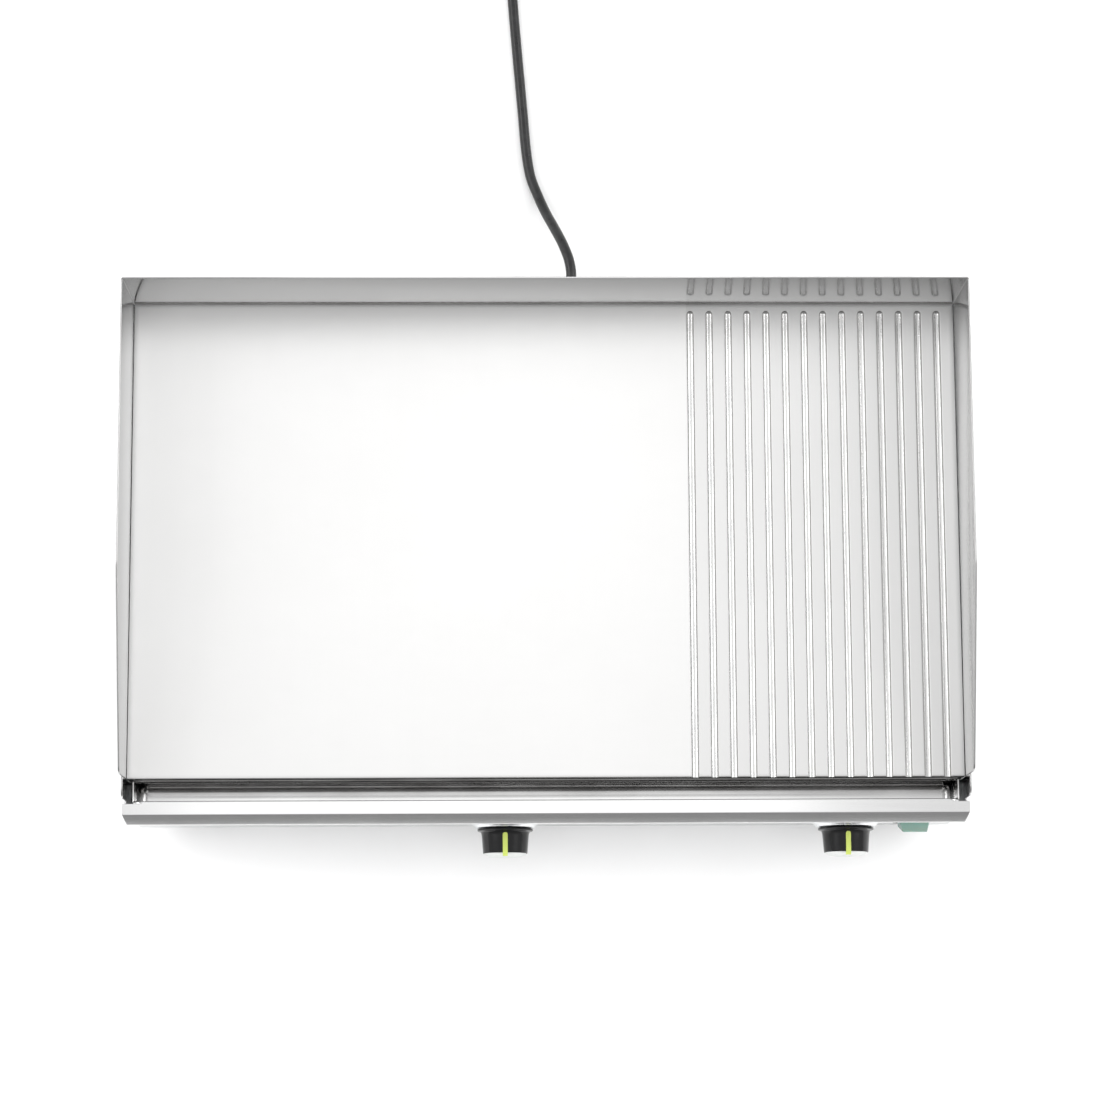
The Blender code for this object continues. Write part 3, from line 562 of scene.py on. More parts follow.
# ---------------------------------------------------------------- camera and supply cord
class GRIDDLE_OT_camera(bpy.types.Operator):
    """Set the camera high above the front edge, looking down on the plate"""

    bl_idname = "griddle.camera"
    bl_label = "Camera"

    def execute(self, context):
        lens = bpy.data.cameras.new("camera")
        lens.lens = 99.64
        lens.sensor_width = 36.0
        lens.clip_start, lens.clip_end = 0.05, 60.0
        camera = bpy.data.objects.new("camera", lens)
        context.scene.collection.objects.link(camera)
        camera.location = (-0.0396, -0.42375, 2.8251)
        camera.rotation_euler = Euler(np.radians((9.263, -1.065, -0.301)))
        context.scene.camera = camera
        return {"FINISHED"}


# The cord's route from the strain relief to the coil.
CORD_ROUTE = np.array([
    (0.0260, 0.2916, 0.0480), (0.0260, 0.2990, 0.0480), (0.0238, 0.3110, 0.0466),
    (0.0185, 0.3270, 0.0400), (0.0112, 0.3450, 0.0282), (0.0030, 0.3640, 0.0158),
    (-0.0042, 0.3830, 0.0078), (-0.0108, 0.4020, 0.0052), (-0.0148, 0.4280, 0.0049),
    (-0.0175, 0.4600, 0.0049), (-0.0205, 0.4950, 0.0049), (-0.0235, 0.5300, 0.0049),
    (-0.0262, 0.5640, 0.0049), (-0.0280, 0.5900, 0.0049), (-0.0287, 0.6095, 0.0049),
])


def smooth_line(knots, spacing):
    """Points along a Catmull-Rom curve through the knots, about one for each spacing."""
    knots = np.vstack([2 * knots[0] - knots[1], knots, 2 * knots[-1] - knots[-2]])
    line = []
    for a, b, c, d in zip(knots[:-3], knots[1:-2], knots[2:-1], knots[3:]):
        t = np.linspace(0, 1, max(2, round(np.linalg.norm(c - b) / spacing)), endpoint=False)[:, None]
        line.append(0.5 * (2 * b + (c - a) * t + (2 * a - 5 * b + 4 * c - d) * t ** 2
                           + (3 * b - a - 3 * c + d) * t ** 3))
    return np.vstack([*line, knots[-2]])


def coil_line(centre, outer, diameter, turns):
    """The wound cord: a flat spiral inwards on the floor for two turns, a climb of one diameter, and
    a spiral outwards over it, clockwise from the coil's left side, one diameter a turn."""
    points_a_turn, floor_gap = 56, 0.00015
    climb_start, climb_turns = 1.83, 0.34
    t = np.linspace(0, turns, round(turns * points_a_turn) + 1)
    radius = outer - diameter * np.minimum(t, 4 - t)
    rise = np.clip((t - climb_start) / climb_turns, 0, 1)
    z = diameter / 2 + floor_gap + diameter * rise * rise * (3 - 2 * rise)
    angle = np.pi - 2 * np.pi * t
    return np.stack([centre[0] + radius * np.cos(angle), centre[1] + radius * np.sin(angle), z], axis=1)


class GRIDDLE_OT_supply_cord(bpy.types.Operator):
    """Make the supply cord, its gland, strain relief and plug"""

    bl_idname = "griddle.supply_cord"
    bl_label = "Supply cord"

    def execute(self, context):
        gland = self.build_gland()
        relief = self.build_relief()
        plug = self.build_plug()
        for node in ("plug_pin_near", "plug_pin_far"):
            self.build_pin(node)
        self.build_flex(gland, relief, plug)
        return {"FINISHED"}

    def build_gland(self):
        """A hexagonal nut against the casing and a dome nut over it, drawn in by 3.5% in 18 flutes."""
        x, _, z = middle("cord_gland")
        low, high = box("cord_gland")
        bore, reach, steps = 0.0052, (high[0] - low[0]) / 2, 72
        start = box("rear_cover")[1][1] + PANEL_GAP
        length = high[1] - start
        nut = rounded([(bore, 0.0), (reach, 0.0), (reach, 0.0056), (bore, 0.0056)], 0.0006, 3, True)
        dome = rounded([(bore, 0.0058), (0.0104, 0.0058), (0.0106, 0.0110), (0.0086, length),
                        (bore, length)], 0.0012, 4, True)
        points = [turned_points(nut, (x, start, z), Y_AXIS, steps, 6),
                  turned_points(dome, (x, start, z), Y_AXIS, steps)]
        flutes = 1 - 0.035 * (np.cos(np.arange(steps) * 2 * np.pi / steps * 18) > 0.2)
        axis = np.array([x, 0.0, z])
        points[1] = (points[1] - axis) * np.where([True, False, True], flutes[None, :, None], 1.0) + axis
        faces = [grid_faces(len(nut), steps, True, True),
                 grid_faces(len(dome), steps, True, True) + points[0].size // 3]
        mesh = make_mesh("gland", np.vstack([p.reshape(-1, 3) for p in points]), np.vstack(faces),
                         sharp=np.radians(25))
        return add_piece("gland_nuts", mesh, "gland", "housing", "knob_black", "cord_gland")

    def build_relief(self):
        """A tapering sleeve with flexing slots all round, cut where a cosine along it is high."""
        low, high = box("cord_relief")
        wide, length = (high[0] - low[0]) / 2, high[1] - low[1]
        tip, bore, slot_depth = 0.0056, 0.0045, 0.0011
        along = np.linspace(0, 1, 121)
        slot = 0.5 + 0.5 * np.tanh(9 * (np.cos(2 * np.pi * 7.5 * along) - 0.35))
        radius = wide + (tip - wide) * along - slot_depth * slot * (along > 0.06) * (along < 0.93)
        profile = np.stack([np.append(radius, [bore, bore]), np.append(along, [1.0, 0.0]) * length], axis=1)
        x, _, z = middle("cord_relief")
        mesh = turned_mesh("relief", profile, (x, low[1], z), Y_AXIS, 48, True)
        return add_piece("strain_relief", mesh, "plug", "housing", "cord_rubber", "cord_relief")

    def build_plug(self):
        """A moulded round plug: ribbed neck, waisted grip and a collar round the pins' face."""
        rear = (box("plug_body")[0][0], *middle("plug_body")[1:])
        neck_end, rib_pitch = 0.030, 0.0050
        neck = np.linspace(0.001, neck_end, 60)
        ribs = 0.0006 * np.tanh(6 * np.cos(neck * 2 * np.pi / rib_pitch))
        grip = rounded([(0.0105, 0.0335), (0.0138, 0.0450), (0.0152, 0.0600), (0.0189, 0.0670),
                        (0.0190, 0.0790), (0.0182, 0.0838), (0.0130, 0.0838), (0.0125, 0.0825),
                        (0.0, 0.0825)], 0.0016, 4)
        profile = np.vstack([[(0.0, 0.0), (0.0050, 0.0)],
                             np.stack([0.0056 + 0.0016 * neck / neck_end + ribs, neck], axis=1), grip])
        mesh = turned_mesh("plug", profile, rear, X_AXIS, 72)
        return add_piece("plug_moulding", mesh, "plug", "housing", "plug_rubber", "plug_body")

    def build_pin(self, node):
        """A round pin with an eased end, its root inside the plug."""
        low, high = box(node)
        root = 0.0016
        length, radius = high[0] - low[0] + root, (high[1] - low[1]) / 2
        profile = rounded([(0.0, length), (radius * 0.72, length), (radius, length - 0.0014),
                           (radius, 0.0), (0.0, 0.0)], 0.0009, 4)
        mesh = turned_mesh(node, profile, (low[0] - root, *middle(node)[1:]), X_AXIS, 32)
        add_piece(f"{node}_plated", mesh, "pin", "housing", "pin_brass", node)

    def build_flex(self, gland, relief, plug):
        """One open line from inside the strain relief, along the route, round the coil, to the plug."""
        diameter = sizes().cord_diameter
        exit_point = np.array([CORD_ROUTE[0, 0], box("cord_relief")[0][1] + 0.0004, CORD_ROUTE[0, 2]])
        centre = middle("cord_coil")
        wound = coil_line(centre, centre[0] - CORD_ROUTE[-1, 0], diameter, sizes().coil_turns)
        end = np.array([box("plug_body")[0][0] + 0.004, *middle("plug_body")[1:]])
        share = np.linspace(0, 1, 14)[1:, None]
        ease = share * share * (3 - 2 * share)
        leaving = wound[-1] + (end - wound[-1]) * np.hstack([share, ease, ease])
        line = np.vstack([exit_point, smooth_line(CORD_ROUTE, 0.004), wound[3:], leaving])
        curve = bpy.data.curves.new("supply_flex", "CURVE")
        curve.dimensions = "3D"
        curve.bevel_depth = diameter / 2
        curve.bevel_resolution = 5
        curve.use_fill_caps = True
        spline = curve.splines.new("POLY")
        spline.points.add(len(line) - 1)
        spline.points.foreach_set("co", np.column_stack([line, np.ones(len(line))]).ravel())
        spline.use_smooth = True
        flex = add_piece("supply_flex", curve, "cord", "housing", "cord_rubber", "supply_cord", "cord_coil")


# ---------------------------------------------------------------- cooking plate and guard
class GRIDDLE_OT_plate(bpy.types.Operator):
    """Make the cooking plate with its round-bottomed grooves"""

    bl_idname = "griddle.plate"
    bl_label = "Cooking plate"

    def execute(self, context):
        size = sizes()
        edge, radius = size.plate_edge, size.groove_radius
        turn = np.linspace(0, np.pi / 2, 5)
        front_in, front_down = edge * (1 - np.cos(turn)), edge * (1 - np.sin(turn))
        wall_share = 0.3  # the edges against the walls are eased less than the front one
        wall_in, wall_down = wall_share * front_in, wall_share * front_down
        side_margin, groove_margin, groove_setback = 0.004, 0.006, 0.0065

        centres = size.first_groove + size.groove_pitch * np.arange(size.groove_count)
        shoulder = radius + np.array([0.0005, 0.0010])
        across = radius * np.sin(np.radians(np.linspace(-88, 88, 17)))
        across = np.concatenate([-shoulder[::-1], across, shoulder])
        smooth_zone = np.linspace(PLATE_LOW[0] + side_margin, centres[0] - groove_margin, 45)
        lands = (centres[:-1] + centres[1:]) / 2
        last = np.linspace(centres[-1] + groove_margin, PLATE_HIGH[0] - side_margin, 4)
        inner = np.sort(np.concatenate([smooth_zone, (centres[:, None] + across).ravel(), lands, last]))
        x = np.concatenate([[PLATE_LOW[0]], PLATE_LOW[0] + wall_in, inner,
                            PLATE_HIGH[0] - wall_in[::-1], [PLATE_HIGH[0]]])
        drop_x = np.concatenate([[1.0], wall_down, np.zeros(len(inner)), wall_down[::-1], [1.0]])

        round_end = box("rear_splash")[0][1] - groove_setback - radius
        ends = round_end + radius * np.sin(np.linspace(0, np.pi / 2, 9))
        rows = np.concatenate([np.linspace(PLATE_LOW[1] + 0.003, round_end, 36)[:-1], ends,
                               [ends[-1] + 0.0008, (ends[-1] + PLATE_HIGH[1] - edge) / 2]])
        y = np.concatenate([[PLATE_LOW[1]], PLATE_LOW[1] + front_in, rows, PLATE_HIGH[1] - wall_in[::-1],
                            [PLATE_HIGH[1]]])
        drop_y = np.concatenate([[1.0], front_down, np.zeros(len(rows)), wall_down[::-1], [1.0]])

        points = self.surface(x, y, np.maximum(drop_y[:, None], drop_x[None, :]), centres, radius, round_end)
        index = np.arange(len(y) * len(x)).reshape(len(y), len(x))
        rim = np.concatenate([index[0, :-1], index[:-1, -1], index[-1, :0:-1], index[:0:-1, 0]])
        mesh = make_mesh("plate", points, grid_faces(len(y), len(x)), [rim[::-1]], sharp=np.radians(40))
        add_piece("cooking_plate", mesh, "plate", "housing", "polished_plate", "griddle_plate")
        return {"FINISHED"}

    def surface(self, x, y, drop, centres, radius, round_end):
        """Height of the plate over a grid of x and y, where drop gives how far its edges fall, and 1 the
        foot of its sides.

        Depth of a groove is sqrt(r^2 - dx^2), and behind round_end the whole section shrinks by
        sqrt(1 - (dy / r)^2), so that each groove ends as a quarter of a ball.
        """
        ball_end, drawn_in = round_end + radius, radius + 0.0011
        grid_x, grid_y = np.meshgrid(x, y)
        nearest = centres[np.abs(grid_x[..., None] - centres).argmin(-1)]
        offset = grid_x - nearest
        past = np.clip((grid_y - round_end) / radius, 0.0, 1.0)
        shrink = np.maximum(np.sqrt(1 - past ** 2), 0.03)
        shrink = np.where(grid_y > ball_end + 0.0003, 1.0, shrink)
        inside = np.abs(offset) < radius
        depth = np.where(inside, np.sqrt(np.maximum(radius ** 2 - offset ** 2, 0.0)) * shrink, 0.0)
        depth = np.where(grid_y > ball_end - 1e-6, 0.0, depth)
        grid_x = np.where(np.abs(offset) < drawn_in, nearest + offset * shrink, grid_x)
        thickness = PLATE_TOP - PLATE_LOW[2]
        lowered = np.where(drop >= 1.0, thickness, np.maximum(drop, depth))
        return np.stack([grid_x, grid_y, PLATE_TOP - lowered], axis=-1)


class GRIDDLE_OT_splash_guard(bpy.types.Operator):
    """Make the three walls of the splash guard and the low cheeks beside the tray"""

    bl_idname = "griddle.splash_guard"
    bl_label = "Splash guard"

    def execute(self, context):
        edge = sizes().sheet_edge
        front_height, level_run = 0.049, 0.2447
        low, high = box("rear_splash")
        corners = [(low[0], low[2]), (high[0], low[2]), (high[0], high[2]), (low[0], high[2])]
        mesh = slab_mesh("rear_wall", rounded(corners, 0.0015, 4, True), 1, low[1], high[1], edge)
        add_piece("rear_wall", mesh, "guard_x", "housing", "stainless_sheet", "rear_splash")
        for side in SIDES:
            low, high = box(f"{side}_splash")
            outline = [(low[1], low[2]), (high[1], low[2]), (high[1], high[2]),
                       (high[1] - level_run, high[2]), (low[1], PLATE_TOP + front_height)]
            radii = [0.0015, 0.0008, 0.0008, 0.030, 0.0085]
            mesh = slab_mesh(f"{side}_wall", rounded(outline, radii, 8, True), 0, low[0], high[0], edge)
            add_piece(f"{side}_wall", mesh, "guard_y", "housing", "stainless_sheet", f"{side}_splash")
            softened(f"{side}_cheek", "guard_y", "stainless_sheet")
        self.build_welds()
        return {"FINISHED"}

    def build_welds(self):
        """A fine weld up each rear corner, rippled, and a ground one where the rear wall meets the
        plate, its radius varied by a product of two sines."""
        (_, face, _), (_, _, top) = box("rear_splash")
        inner = {"left": box("left_splash")[1][0], "right": box("right_splash")[0][0]}
        height = np.linspace(PLATE_TOP + 0.0006, top - 0.0012, 160)
        ripple = 0.00055 + 0.00008 * np.sin(height * 2 * np.pi / 0.0016)
        for side in SIDES:
            line = np.stack(np.broadcast_arrays(inner[side], face, height), axis=1)
            mesh = bead_mesh(f"{side}_seam", line, ripple, X_AXIS, Y_AXIS)
            add_piece(f"{side}_corner_weld", mesh, "guard_y", "housing", "stainless_sheet")
        x = np.linspace(inner["left"] + 0.0004, inner["right"] - 0.0004, 260)
        radius = 0.00062 + 0.00005 * np.sin(x * 2 * np.pi / 0.0110) * np.sin(x * 2 * np.pi / 0.0431)
        line = np.stack(np.broadcast_arrays(x, face - 0.00015, PLATE_TOP + 0.00005), axis=1)
        mesh = bead_mesh("base_seam", line, radius, Y_AXIS, Z_AXIS)
        add_piece("rear_base_weld", mesh, "tray", "housing", "stainless_sheet")


# ---------------------------------------------------------------- grease tray
class GRIDDLE_OT_grease_tray(bpy.types.Operator):
    """Make the folded grease tray, its end plates and the angles that it rests on"""

    bl_idname = "griddle.grease_tray"
    bl_label = "Grease tray"

    def execute(self, context):
        self.build_tray()
        for side in SIDES:
            low, high = box(f"{side}_tray_end")
            corners = [(low[1], low[2]), (high[1], low[2]), (high[1], high[2]), (low[1], high[2])]
            outline = rounded(corners, [0.0045, 0.0085, 0.0020, 0.0004], 6, True)
            mesh = slab_mesh(f"{side}_end", outline, 0, low[0], high[0], 0.00035)
            add_piece(f"{side}_end_plate", mesh, "tray", "tray", "stainless_sheet", f"{side}_tray_end")
            softened(f"{side}_tray_rest", "zinc", "galvanised_sheet")
        return {"FINISHED"}

    def build_tray(self):
        """The tray is one sheet, upper side worked out, thickness added below.

        Across the middle its section runs down the channel's rear wall, along the floor, up the front
        wall and over a bend to the flange. From there rows of the rim go out to the lip: each row is
        the outline of three sides of a rectangle, whose front y, height and corner radius change.
        """
        sheet, bend = 0.0012, sizes().bend
        overhang, channel_width, slope = 0.0098, 0.0183, 0.008
        half, skirt = TRAY_HIGH[0] - overhang, TRAY_HIGH[0]
        rear, front = TRAY_HIGH[1] - sheet, TRAY_HIGH[1] - channel_width
        floor = TRAY_LOW[2] + sheet
        section = rounded([(rear, PLATE_TOP - 0.005), (rear, floor), (front, floor), (front, PLATE_TOP),
                           (front - bend, PLATE_TOP)], [0, 0.0120, 0.0030, bend, 0], 12, most=0.8)
        across = np.linspace(-half, half, 90)
        channel = np.stack(np.broadcast_arrays(across[None], section[:, :1], section[:, 1:]), axis=-1)

        turn = rounded([(front - bend, PLATE_TOP), (TRAY_LOW[1] + slope, PLATE_TOP),
                        (TRAY_LOW[1], PLATE_TOP - slope), (TRAY_LOW[1], PLATE_TOP - 0.0115)],
                       [0, 0.0016, 0.0012, 0], 5)
        near_bend = (0.0006, 0.0)  # rows that keep the bends' shading off the flat flange
        turn = np.vstack([turn[:1], turn[:1] - near_bend, turn[1:2] + near_bend, turn[1:]])
        share = np.clip((turn[:, 0] - turn[-1, 0]) / (turn[3, 0] - turn[-1, 0]), 0, 1)
        corner = 0.0032 * (1 - share) ** 2 + 0.0008
        rim = np.stack([self.rim_row(y, z, r, skirt, turn[1, 0], across, level < 2)
                        for level, ((y, z), r) in enumerate(zip(turn, corner))])
        faces = np.vstack([grid_faces(*channel.shape[:2]), grid_faces(*rim.shape[:2]) + channel.size // 3])
        points = np.vstack([channel.reshape(-1, 3), rim.reshape(-1, 3)])
        mesh = make_mesh("tray", points, faces, merge=1e-6)
        self.face_up(mesh)
        tray = add_piece("folded_tray", mesh, "tray", "tray", "stainless_sheet", "grease_tray")
        wall = tray.modifiers.new("wall", "SOLIDIFY")
        wall.thickness = sheet
        wall.offset = -1.0
        wall.use_even_offset = True
        wall.use_quality_normals = True

    def rim_row(self, y_front, z, radius, skirt, y_rear, across, inner):
        """One row of the rim, left to right: 9 points of the left skirt, 8 round the corner, the
        front, and the same mirrored. The inner rows are straight, along the channel's front wall."""
        if inner:
            side = np.linspace(-skirt, across[0], 17, endpoint=False)
            left = np.stack(np.broadcast_arrays(side, y_front), axis=1)
            span = across
        else:
            angle = np.linspace(np.pi, 1.5 * np.pi, 8)
            straight = np.linspace(y_rear, y_front + radius, 9, endpoint=False)
            bow = radius + radius * np.stack([np.cos(angle), np.sin(angle)], axis=1)
            left = np.concatenate([np.stack(np.broadcast_arrays(-skirt, straight), axis=1),
                                   bow + (-skirt, y_front)])
            span = across * (skirt - radius - 0.0004) / -across[0]
        front = np.stack(np.broadcast_arrays(span, y_front), axis=1)
        row = np.vstack([left, front, (left * (-1, 1))[::-1]])
        return np.insert(row, 2, z, axis=1)

    def face_up(self, mesh):
        """Turn the open sheet so that its flange faces up."""
        flange = max(mesh.polygons, key=lambda face: face.center.z + 0.001 * abs(face.normal.z))
        if flange.normal.z < 0:
            mesh.flip_normals()


# ---------------------------------------------------------------- casing
class GRIDDLE_OT_casing(bpy.types.Operator):
    """Finish the folded casing panels, the floor plate, the screws and the feet"""

    bl_idname = "griddle.casing"
    bl_label = "Casing"

    def execute(self, context):
        softened("front_panel", "sheet_x", "stainless_sheet")
        softened("rear_cover", "sheet_x", "stainless_sheet")
        softened("floor_plate", "zinc", "galvanised_sheet")
        for side in SIDES:
            softened(f"{side}_side_panel", "sheet_y", "stainless_sheet")
        for row in ("lower", "upper"):
            for side in SIDES:
                self.build_screw(f"cover_screw_{row}_{side}")
        for place in ("front_left", "front_right", "rear_left", "rear_right"):
            self.build_foot(place)
        return {"FINISHED"}

    def build_screw(self, node):
        """A domed head with a cross recess, and a shank whose radius follows |sin| for its threads."""
        low, high = box(node)
        x, _, z = middle(node)
        face = box("rear_cover")[1][1] + PANEL_GAP
        head, depth, radius = high[1] - face, face - low[1], (high[0] - low[0]) / 2
        dome = np.linspace(0, np.pi / 2, 9)
        crown = np.stack([radius * np.sin(dome), head * (0.35 + 0.65 * np.cos(dome))], axis=1)
        thread = np.linspace(0, 1, 60)
        threads = 0.00175 - 0.00022 * np.abs(np.sin(thread * np.pi * 8)) - 0.0008 * (thread > 0.93)
        profile = np.vstack([crown, [(radius, 0.0), (0.0019, 0.0)],
                             np.stack([threads, -thread * depth], axis=1), [(0.0, -depth)]])
        points = turned_points(profile, (x, face, z), Y_AXIS, 64)
        arm_half, arm_length, recess_depth = 0.00045, 0.62 * radius, 0.0007
        flat = np.abs(points[..., [0, 2]] - (x, z))
        recess = (flat.min(-1) < arm_half) & (flat.max(-1) < arm_length) & (points[..., 1] > face + 0.0003)
        points[..., 1] -= np.where(recess, recess_depth, 0.0)
        mesh = make_mesh(node, points, grid_faces(len(profile), 64, False, True), sharp=np.radians(30))
        add_piece(f"{node}_head", mesh, "screw", "housing", "screw_steel", node)

    def build_foot(self, place):
        """A moulded rubber foot: flared skirt with a bead, and a recess under it."""
        node = f"foot_{place}"
        low, high = box(node)
        x, y, _ = middle(node)
        wide, height = (high[0] - low[0]) / 2, high[2]
        profile = rounded([(0.0, height), (0.0150, height), (0.0163, height - 0.003),
                           (wide - 0.0012, 0.0085), (wide, 0.0066), (wide - 0.0006, 0.0045),
                           (0.0187, 0.0), (0.0069, 0.0), (0.0060, 0.0045), (0.0, 0.0045)], 0.0012, 4)
        mesh = turned_mesh(node, profile, (x, y, 0.0), Z_AXIS, 64)
        add_piece(f"{node}_rubber", mesh, "foot", "housing", "foot_rubber", node)


# ---------------------------------------------------------------- controls
class GRIDDLE_OT_knobs(bpy.types.Operator):
    """Make both thermostat knobs with their pointers, caps, bezels and spindles"""

    bl_idname = "griddle.knobs"
    bl_label = "Knobs"

    def execute(self, context):
        panel = box("front_panel")[0][1]
        for side in SIDES:
            x, _, z = middle(f"{side}_bezel")
            centre = np.array([x, panel, z])
            self.build_bezel(side, centre)
            self.build_body(side, centre)
            self.build_pointer(side)
            self.build_cap(side, centre)
            dress(f"{side}_knob_shaft", "screw")
        return {"FINISHED"}

    def build_bezel(self, side, centre):
        """A dished ring on the panel, turned to a lip round the knob's flange."""
        profile = rounded([(0.0045, 0.0003), (0.0305, 0.0003), (0.0305, 0.0013), (0.0262, 0.0062),
                           (0.0250, 0.0065), (0.0246, 0.0060), (0.0150, 0.0060), (0.0045, 0.0060)],
                          [0, 0.0004, 0.0008, 0.0012, 0.0004, 0.0003, 0.0003, 0], 4, True)
        mesh = turned_mesh(f"{side}_bezel", profile, centre, -Y_AXIS, 128, True)
        finish = turned_metal(f"{side}_bezel_metal", colours().bezel, 0.24, centre, 0.0006)
        add_piece(f"{side}_bezel_ring", mesh, finish.material, "housing", "bezel_silver", f"{side}_bezel")

    def build_body(self, side, centre):
        """Flange, waisted body with a slight taper, and a rim round the cap; hollow behind."""
        outer = [(0.0, 0.0284), (0.0186, 0.0284), (0.0188, 0.0289), (0.0193, 0.0289), (0.0196, 0.0283),
                 (0.0208, 0.0125), (0.0215, 0.0100), (0.0238, 0.0093), (0.0245, 0.0088), (0.0245, 0.0075),
                 (0.0238, 0.0068), (0.0195, 0.0068), (0.0175, 0.0090), (0.0172, 0.0260), (0.0060, 0.0260),
                 (0.0058, 0.0072), (0.0033, 0.0072), (0.0033, 0.0245), (0.0, 0.0245)]
        radii = np.full(len(outer), 0.0006)
        radii[[5, 6]] = 0.0060, 0.0030
        mesh = turned_mesh(f"{side}_knob", rounded(outer, radii, 6), centre, -Y_AXIS, 128)
        add_piece(f"{side}_knob_body", mesh, "knob", f"{side}_control", "knob_black", f"{side}_knob")

    def build_pointer(self, side):
        """A bar let into the knob's crown.

        Its section is a box with eased upper corners. Its half width is sqrt(h^2 - d^2) over the last
        h before the rear end, so that it ends in a half round, and past the crown it falls 1 for 1 over
        the edge of the cap.
        """
        low, high = box(f"{side}_pointer")
        half, _, rise = (high - low) / 2
        x, _, z = middle(f"{side}_pointer")
        rear = high[1] - half * (1 - np.sin(np.linspace(0, 0.48 * np.pi, 10)))
        crown = low[1] + 0.0030
        y = np.concatenate([np.linspace(low[1], crown, 8), np.linspace(crown, rear[0], 8)[1:-1], rear])
        width = np.sqrt(np.maximum(half ** 2 - np.maximum(y - (high[1] - half), 0.0) ** 2, 1e-9))
        fall = np.maximum(crown - y, 0.0)
        section = rounded([(-1.0, -1.0), (1.0, -1.0), (1.0, 1.0), (-1.0, 1.0)], [0, 0, 0.25, 0.25], 4, True)
        points = np.stack(np.broadcast_arrays(x + width[:, None] * section[:, 0], y[:, None],
                                              z + rise * section[:, 1] - fall[:, None]), axis=-1)
        add_piece(f"{side}_pointer_inlay", tube_mesh(f"{side}_pointer", points), "pointer",
                  f"{side}_control", "pointer_lime", f"{side}_pointer")

    def build_cap(self, side, centre):
        """A spun disc, domed ever faster towards its rim: height falls with the sixth power of the
        radius, down to the knob's crown."""
        front = centre[1] - box(f"{side}_knob_cap")[0][1]
        rim, crown, drop = 0.0186, 0.0286, 0.0032
        radius = rim * np.sin(np.linspace(0, np.pi / 2, 26))
        dome = np.stack([radius, front - drop * (radius / rim) ** 6], axis=1)
        profile = np.vstack([dome, [(rim, crown), (0.0, crown)]])
        mesh = turned_mesh(f"{side}_cap", profile, centre, -Y_AXIS, 128)
        finish = turned_metal(f"{side}_cap_metal", colours().cap, 0.32, centre, 0.00045)
        add_piece(f"{side}_cap_disc", mesh, finish.material, f"{side}_control", "cap_silver",
                  f"{side}_knob_cap")


class GRIDDLE_OT_switch(bpy.types.Operator):
    """Finish the mains switch: its housing and its translucent rocker"""

    bl_idname = "griddle.switch"
    bl_label = "Mains switch"

    def execute(self, context):
        softened("switch_housing", "housing", "switch_black", 0.0005, 3)
        softened("switch_rocker", "rocker", "switch_green", 0.0009, 4)
        return {"FINISHED"}


# ---------------------------------------------------------------- inside
class GRIDDLE_OT_heating(bpy.types.Operator):
    """Finish the elements, clamps, insulation and heat shield"""

    bl_idname = "griddle.heating"
    bl_label = "Heating"

    def execute(self, context):
        for side in SIDES:
            dress(f"{side}_element", "sheath")
            softened(f"{side}_element_clamp", "zinc", "galvanised_sheet")
        softened("insulation_board", "wool", "insulation_wool", 0.0015, 3)
        softened("heat_shield", "zinc", "galvanised_sheet", 0.0003)
        return {"FINISHED"}


class GRIDDLE_OT_electrics(bpy.types.Operator):
    """Finish the thermostats, sensors, terminal block and cut-out"""

    bl_idname = "griddle.electrics"
    bl_label = "Electrics"

    def execute(self, context):
        for side in SIDES:
            softened(f"{side}_thermostat", "moulding", "thermostat_grey", 0.0010, 3)
            dress(f"{side}_capillary", "screw")
            dress(f"{side}_sensor_bulb", "screw")
        softened("terminal_block", "porcelain", "ceramic_white", 0.0012, 3)
        softened("safety_cutout", "moulding", "thermostat_grey", 0.0012, 3)
        return {"FINISHED"}


# ---------------------------------------------------------------- studio
def add_panel(name, place, target, width, depth, brightness, shown=True):
    """A soft box of the given size at place, facing target. Its power is pi * area * brightness, and
    one that isn't shown lights the floor and the matt pieces without a mirror image in the metal."""
    light = bpy.data.lights.new(name, "AREA")
    light.shape = "RECTANGLE"
    light.size, light.size_y = width, depth
    light.energy = np.pi * width * depth * brightness
    made = bpy.data.objects.new(name, light)
    bpy.context.scene.collection.objects.link(made)
    made.location = place
    made.rotation_euler = (Vector(target) - Vector(place)).to_track_quat("-Z", "Y").to_euler()
    made.visible_camera = False
    made.visible_glossy = shown
    return made


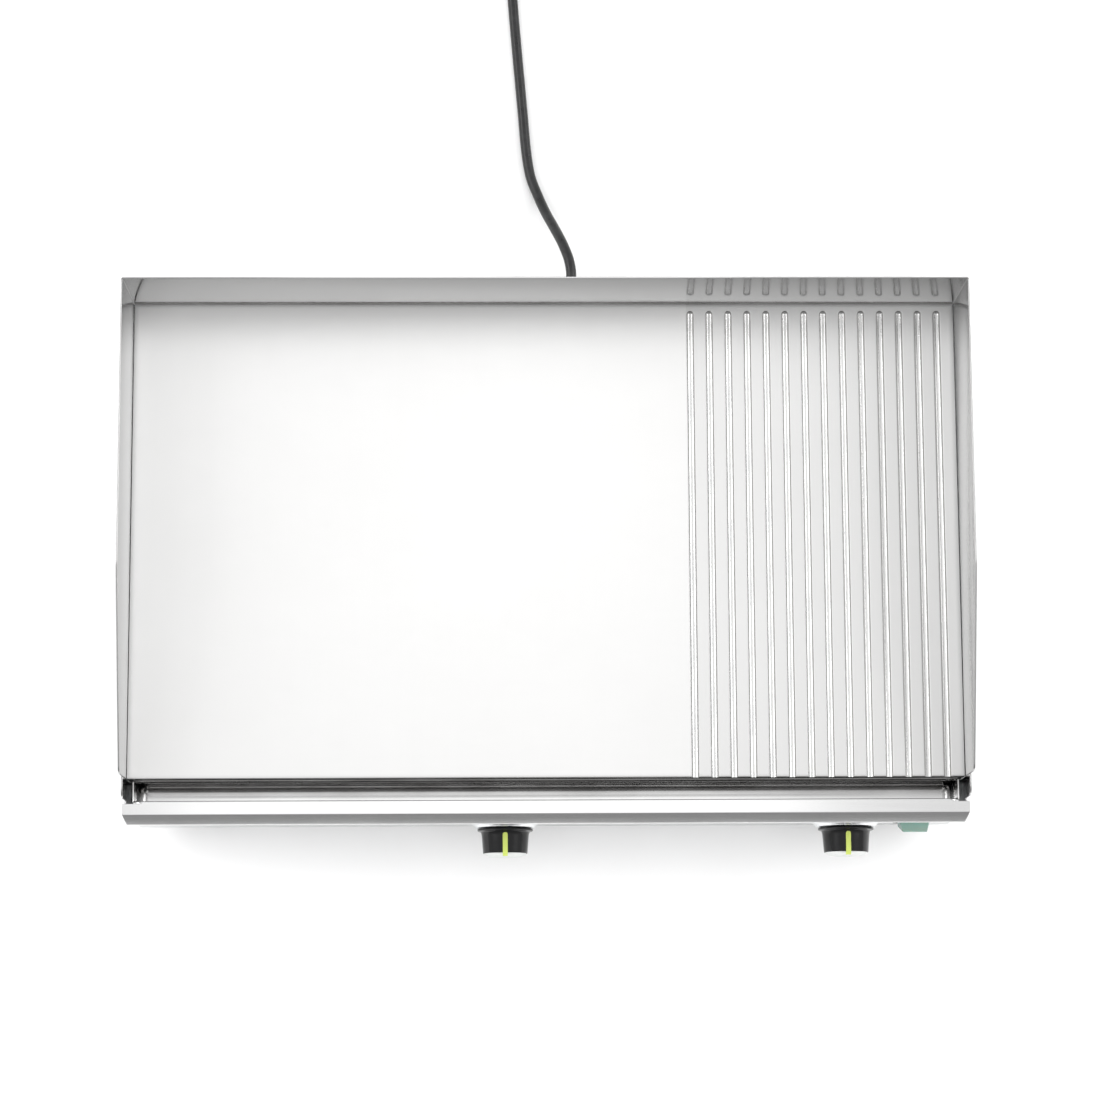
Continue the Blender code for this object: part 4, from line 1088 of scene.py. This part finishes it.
class GRIDDLE_OT_stage(bpy.types.Operator):
    """Make the pale floor, the soft lights and the even surroundings"""

    bl_idname = "griddle.stage"
    bl_label = "Studio"

    def execute(self, context):
        scene = context.scene
        scene.view_settings.view_transform = "Standard"
        self.build_floor()
        scene.world = self.build_surroundings()
        add_panel("overhead", (-0.05, 0.62, 2.7), (-0.05, 0.45, 0.0), 1.1, 1.65, 0.62)
        for side, x in zip(SIDES, (-2.25, 2.25)):
            add_panel(f"{side}_bank", (x, 0.75, 1.85), (0.0, 0.75, 0.1), 2.1, 1.1, 3.6)
        add_panel("floor_fill", (0.0, 0.0, 3.3), (0.0, 0.0, 0.0), 4.6, 4.6, 0.85, shown=False)
        add_panel("front_fill", (0.0, -2.0, 1.9), (0.0, -0.3, 0.0), 3.0, 1.5, 2.6, shown=False)
        return {"FINISHED"}

    def build_surroundings(self):
        """White walls and ceiling whose light falls off towards the low front, behind the viewer."""
        world = bpy.data.worlds.new("studio")
        world.use_nodes = True
        tree = world.node_tree
        direction = tree.nodes.new("ShaderNodeTexCoord").outputs["Generated"]
        parts = tree.nodes.new("ShaderNodeSeparateXYZ")
        tree.links.new(direction, parts.inputs[0])
        front = tree.nodes.new("ShaderNodeMapRange")
        front.interpolation_type = "SMOOTHSTEP"
        for name, value in {"From Min": 0.02, "From Max": -0.85, "To Min": 0.82, "To Max": 0.26}.items():
            front.inputs[name].default_value = value
        tree.links.new(parts.outputs["Y"], front.inputs["Value"])
        background = tree.nodes["Background"]
        background.inputs["Color"].default_value = (1.0, 1.0, 1.0, 1.0)
        tree.links.new(front.outputs[0], background.inputs["Strength"])
        return world

    def build_floor(self):
        """A wide floor that is level under the griddle."""
        x, y = np.meshgrid((-40.0, 40.0), (-40.0, 40.0))
        points = np.stack([x, y, np.zeros_like(x)], axis=-1)
        mesh = make_mesh("floor", points, grid_faces(2, 2), recalculate=False)
        finish = Finish("studio_floor", colours().floor, 0.7)
        finish.shade(finish.noise(3.0, 2.0), 0.99, 1.01)
        mesh.materials.append(finish.material)
        floor = bpy.data.objects.new("studio_floor", mesh)
        bpy.context.scene.collection.objects.link(floor)


# ---------------------------------------------------------------- panel and registration
OPERATORS = (
    GRIDDLE_OT_camera, GRIDDLE_OT_supply_cord, GRIDDLE_OT_plate, GRIDDLE_OT_splash_guard,
    GRIDDLE_OT_grease_tray, GRIDDLE_OT_casing, GRIDDLE_OT_knobs, GRIDDLE_OT_switch,
    GRIDDLE_OT_heating, GRIDDLE_OT_electrics, GRIDDLE_OT_stage,
)


class GRIDDLE_PT_panel(bpy.types.Panel):
    """Lists the sizes, the colours and a button for each group of pieces"""

    bl_idname = "GRIDDLE_PT_panel"
    bl_label = "Countertop griddle"
    bl_space_type = "VIEW_3D"
    bl_region_type = "UI"
    bl_category = "Griddle"

    def draw(self, context):
        for group in (context.scene.griddle_sizes, context.scene.griddle_colours):
            column = self.layout.column(align=True)
            for name in group.__annotations__:
                column.prop(group, name)
        for operator in OPERATORS:
            self.layout.operator(operator.bl_idname)


CLASSES = (GriddleSizes, GriddleColours, *OPERATORS, GRIDDLE_PT_panel)


def register():
    for item in CLASSES:
        bpy.utils.register_class(item)
    bpy.types.Scene.griddle_sizes = PointerProperty(type=GriddleSizes)
    bpy.types.Scene.griddle_colours = PointerProperty(type=GriddleColours)


def unregister():
    del bpy.types.Scene.griddle_colours
    del bpy.types.Scene.griddle_sizes
    for item in reversed(CLASSES):
        bpy.utils.unregister_class(item)


def main():
    """Make every piece in order."""
    register()
    for operator in OPERATORS:
        group, name = operator.bl_idname.split(".")
        getattr(getattr(bpy.ops, group), name)()


if __name__ == "__main__":
    main()
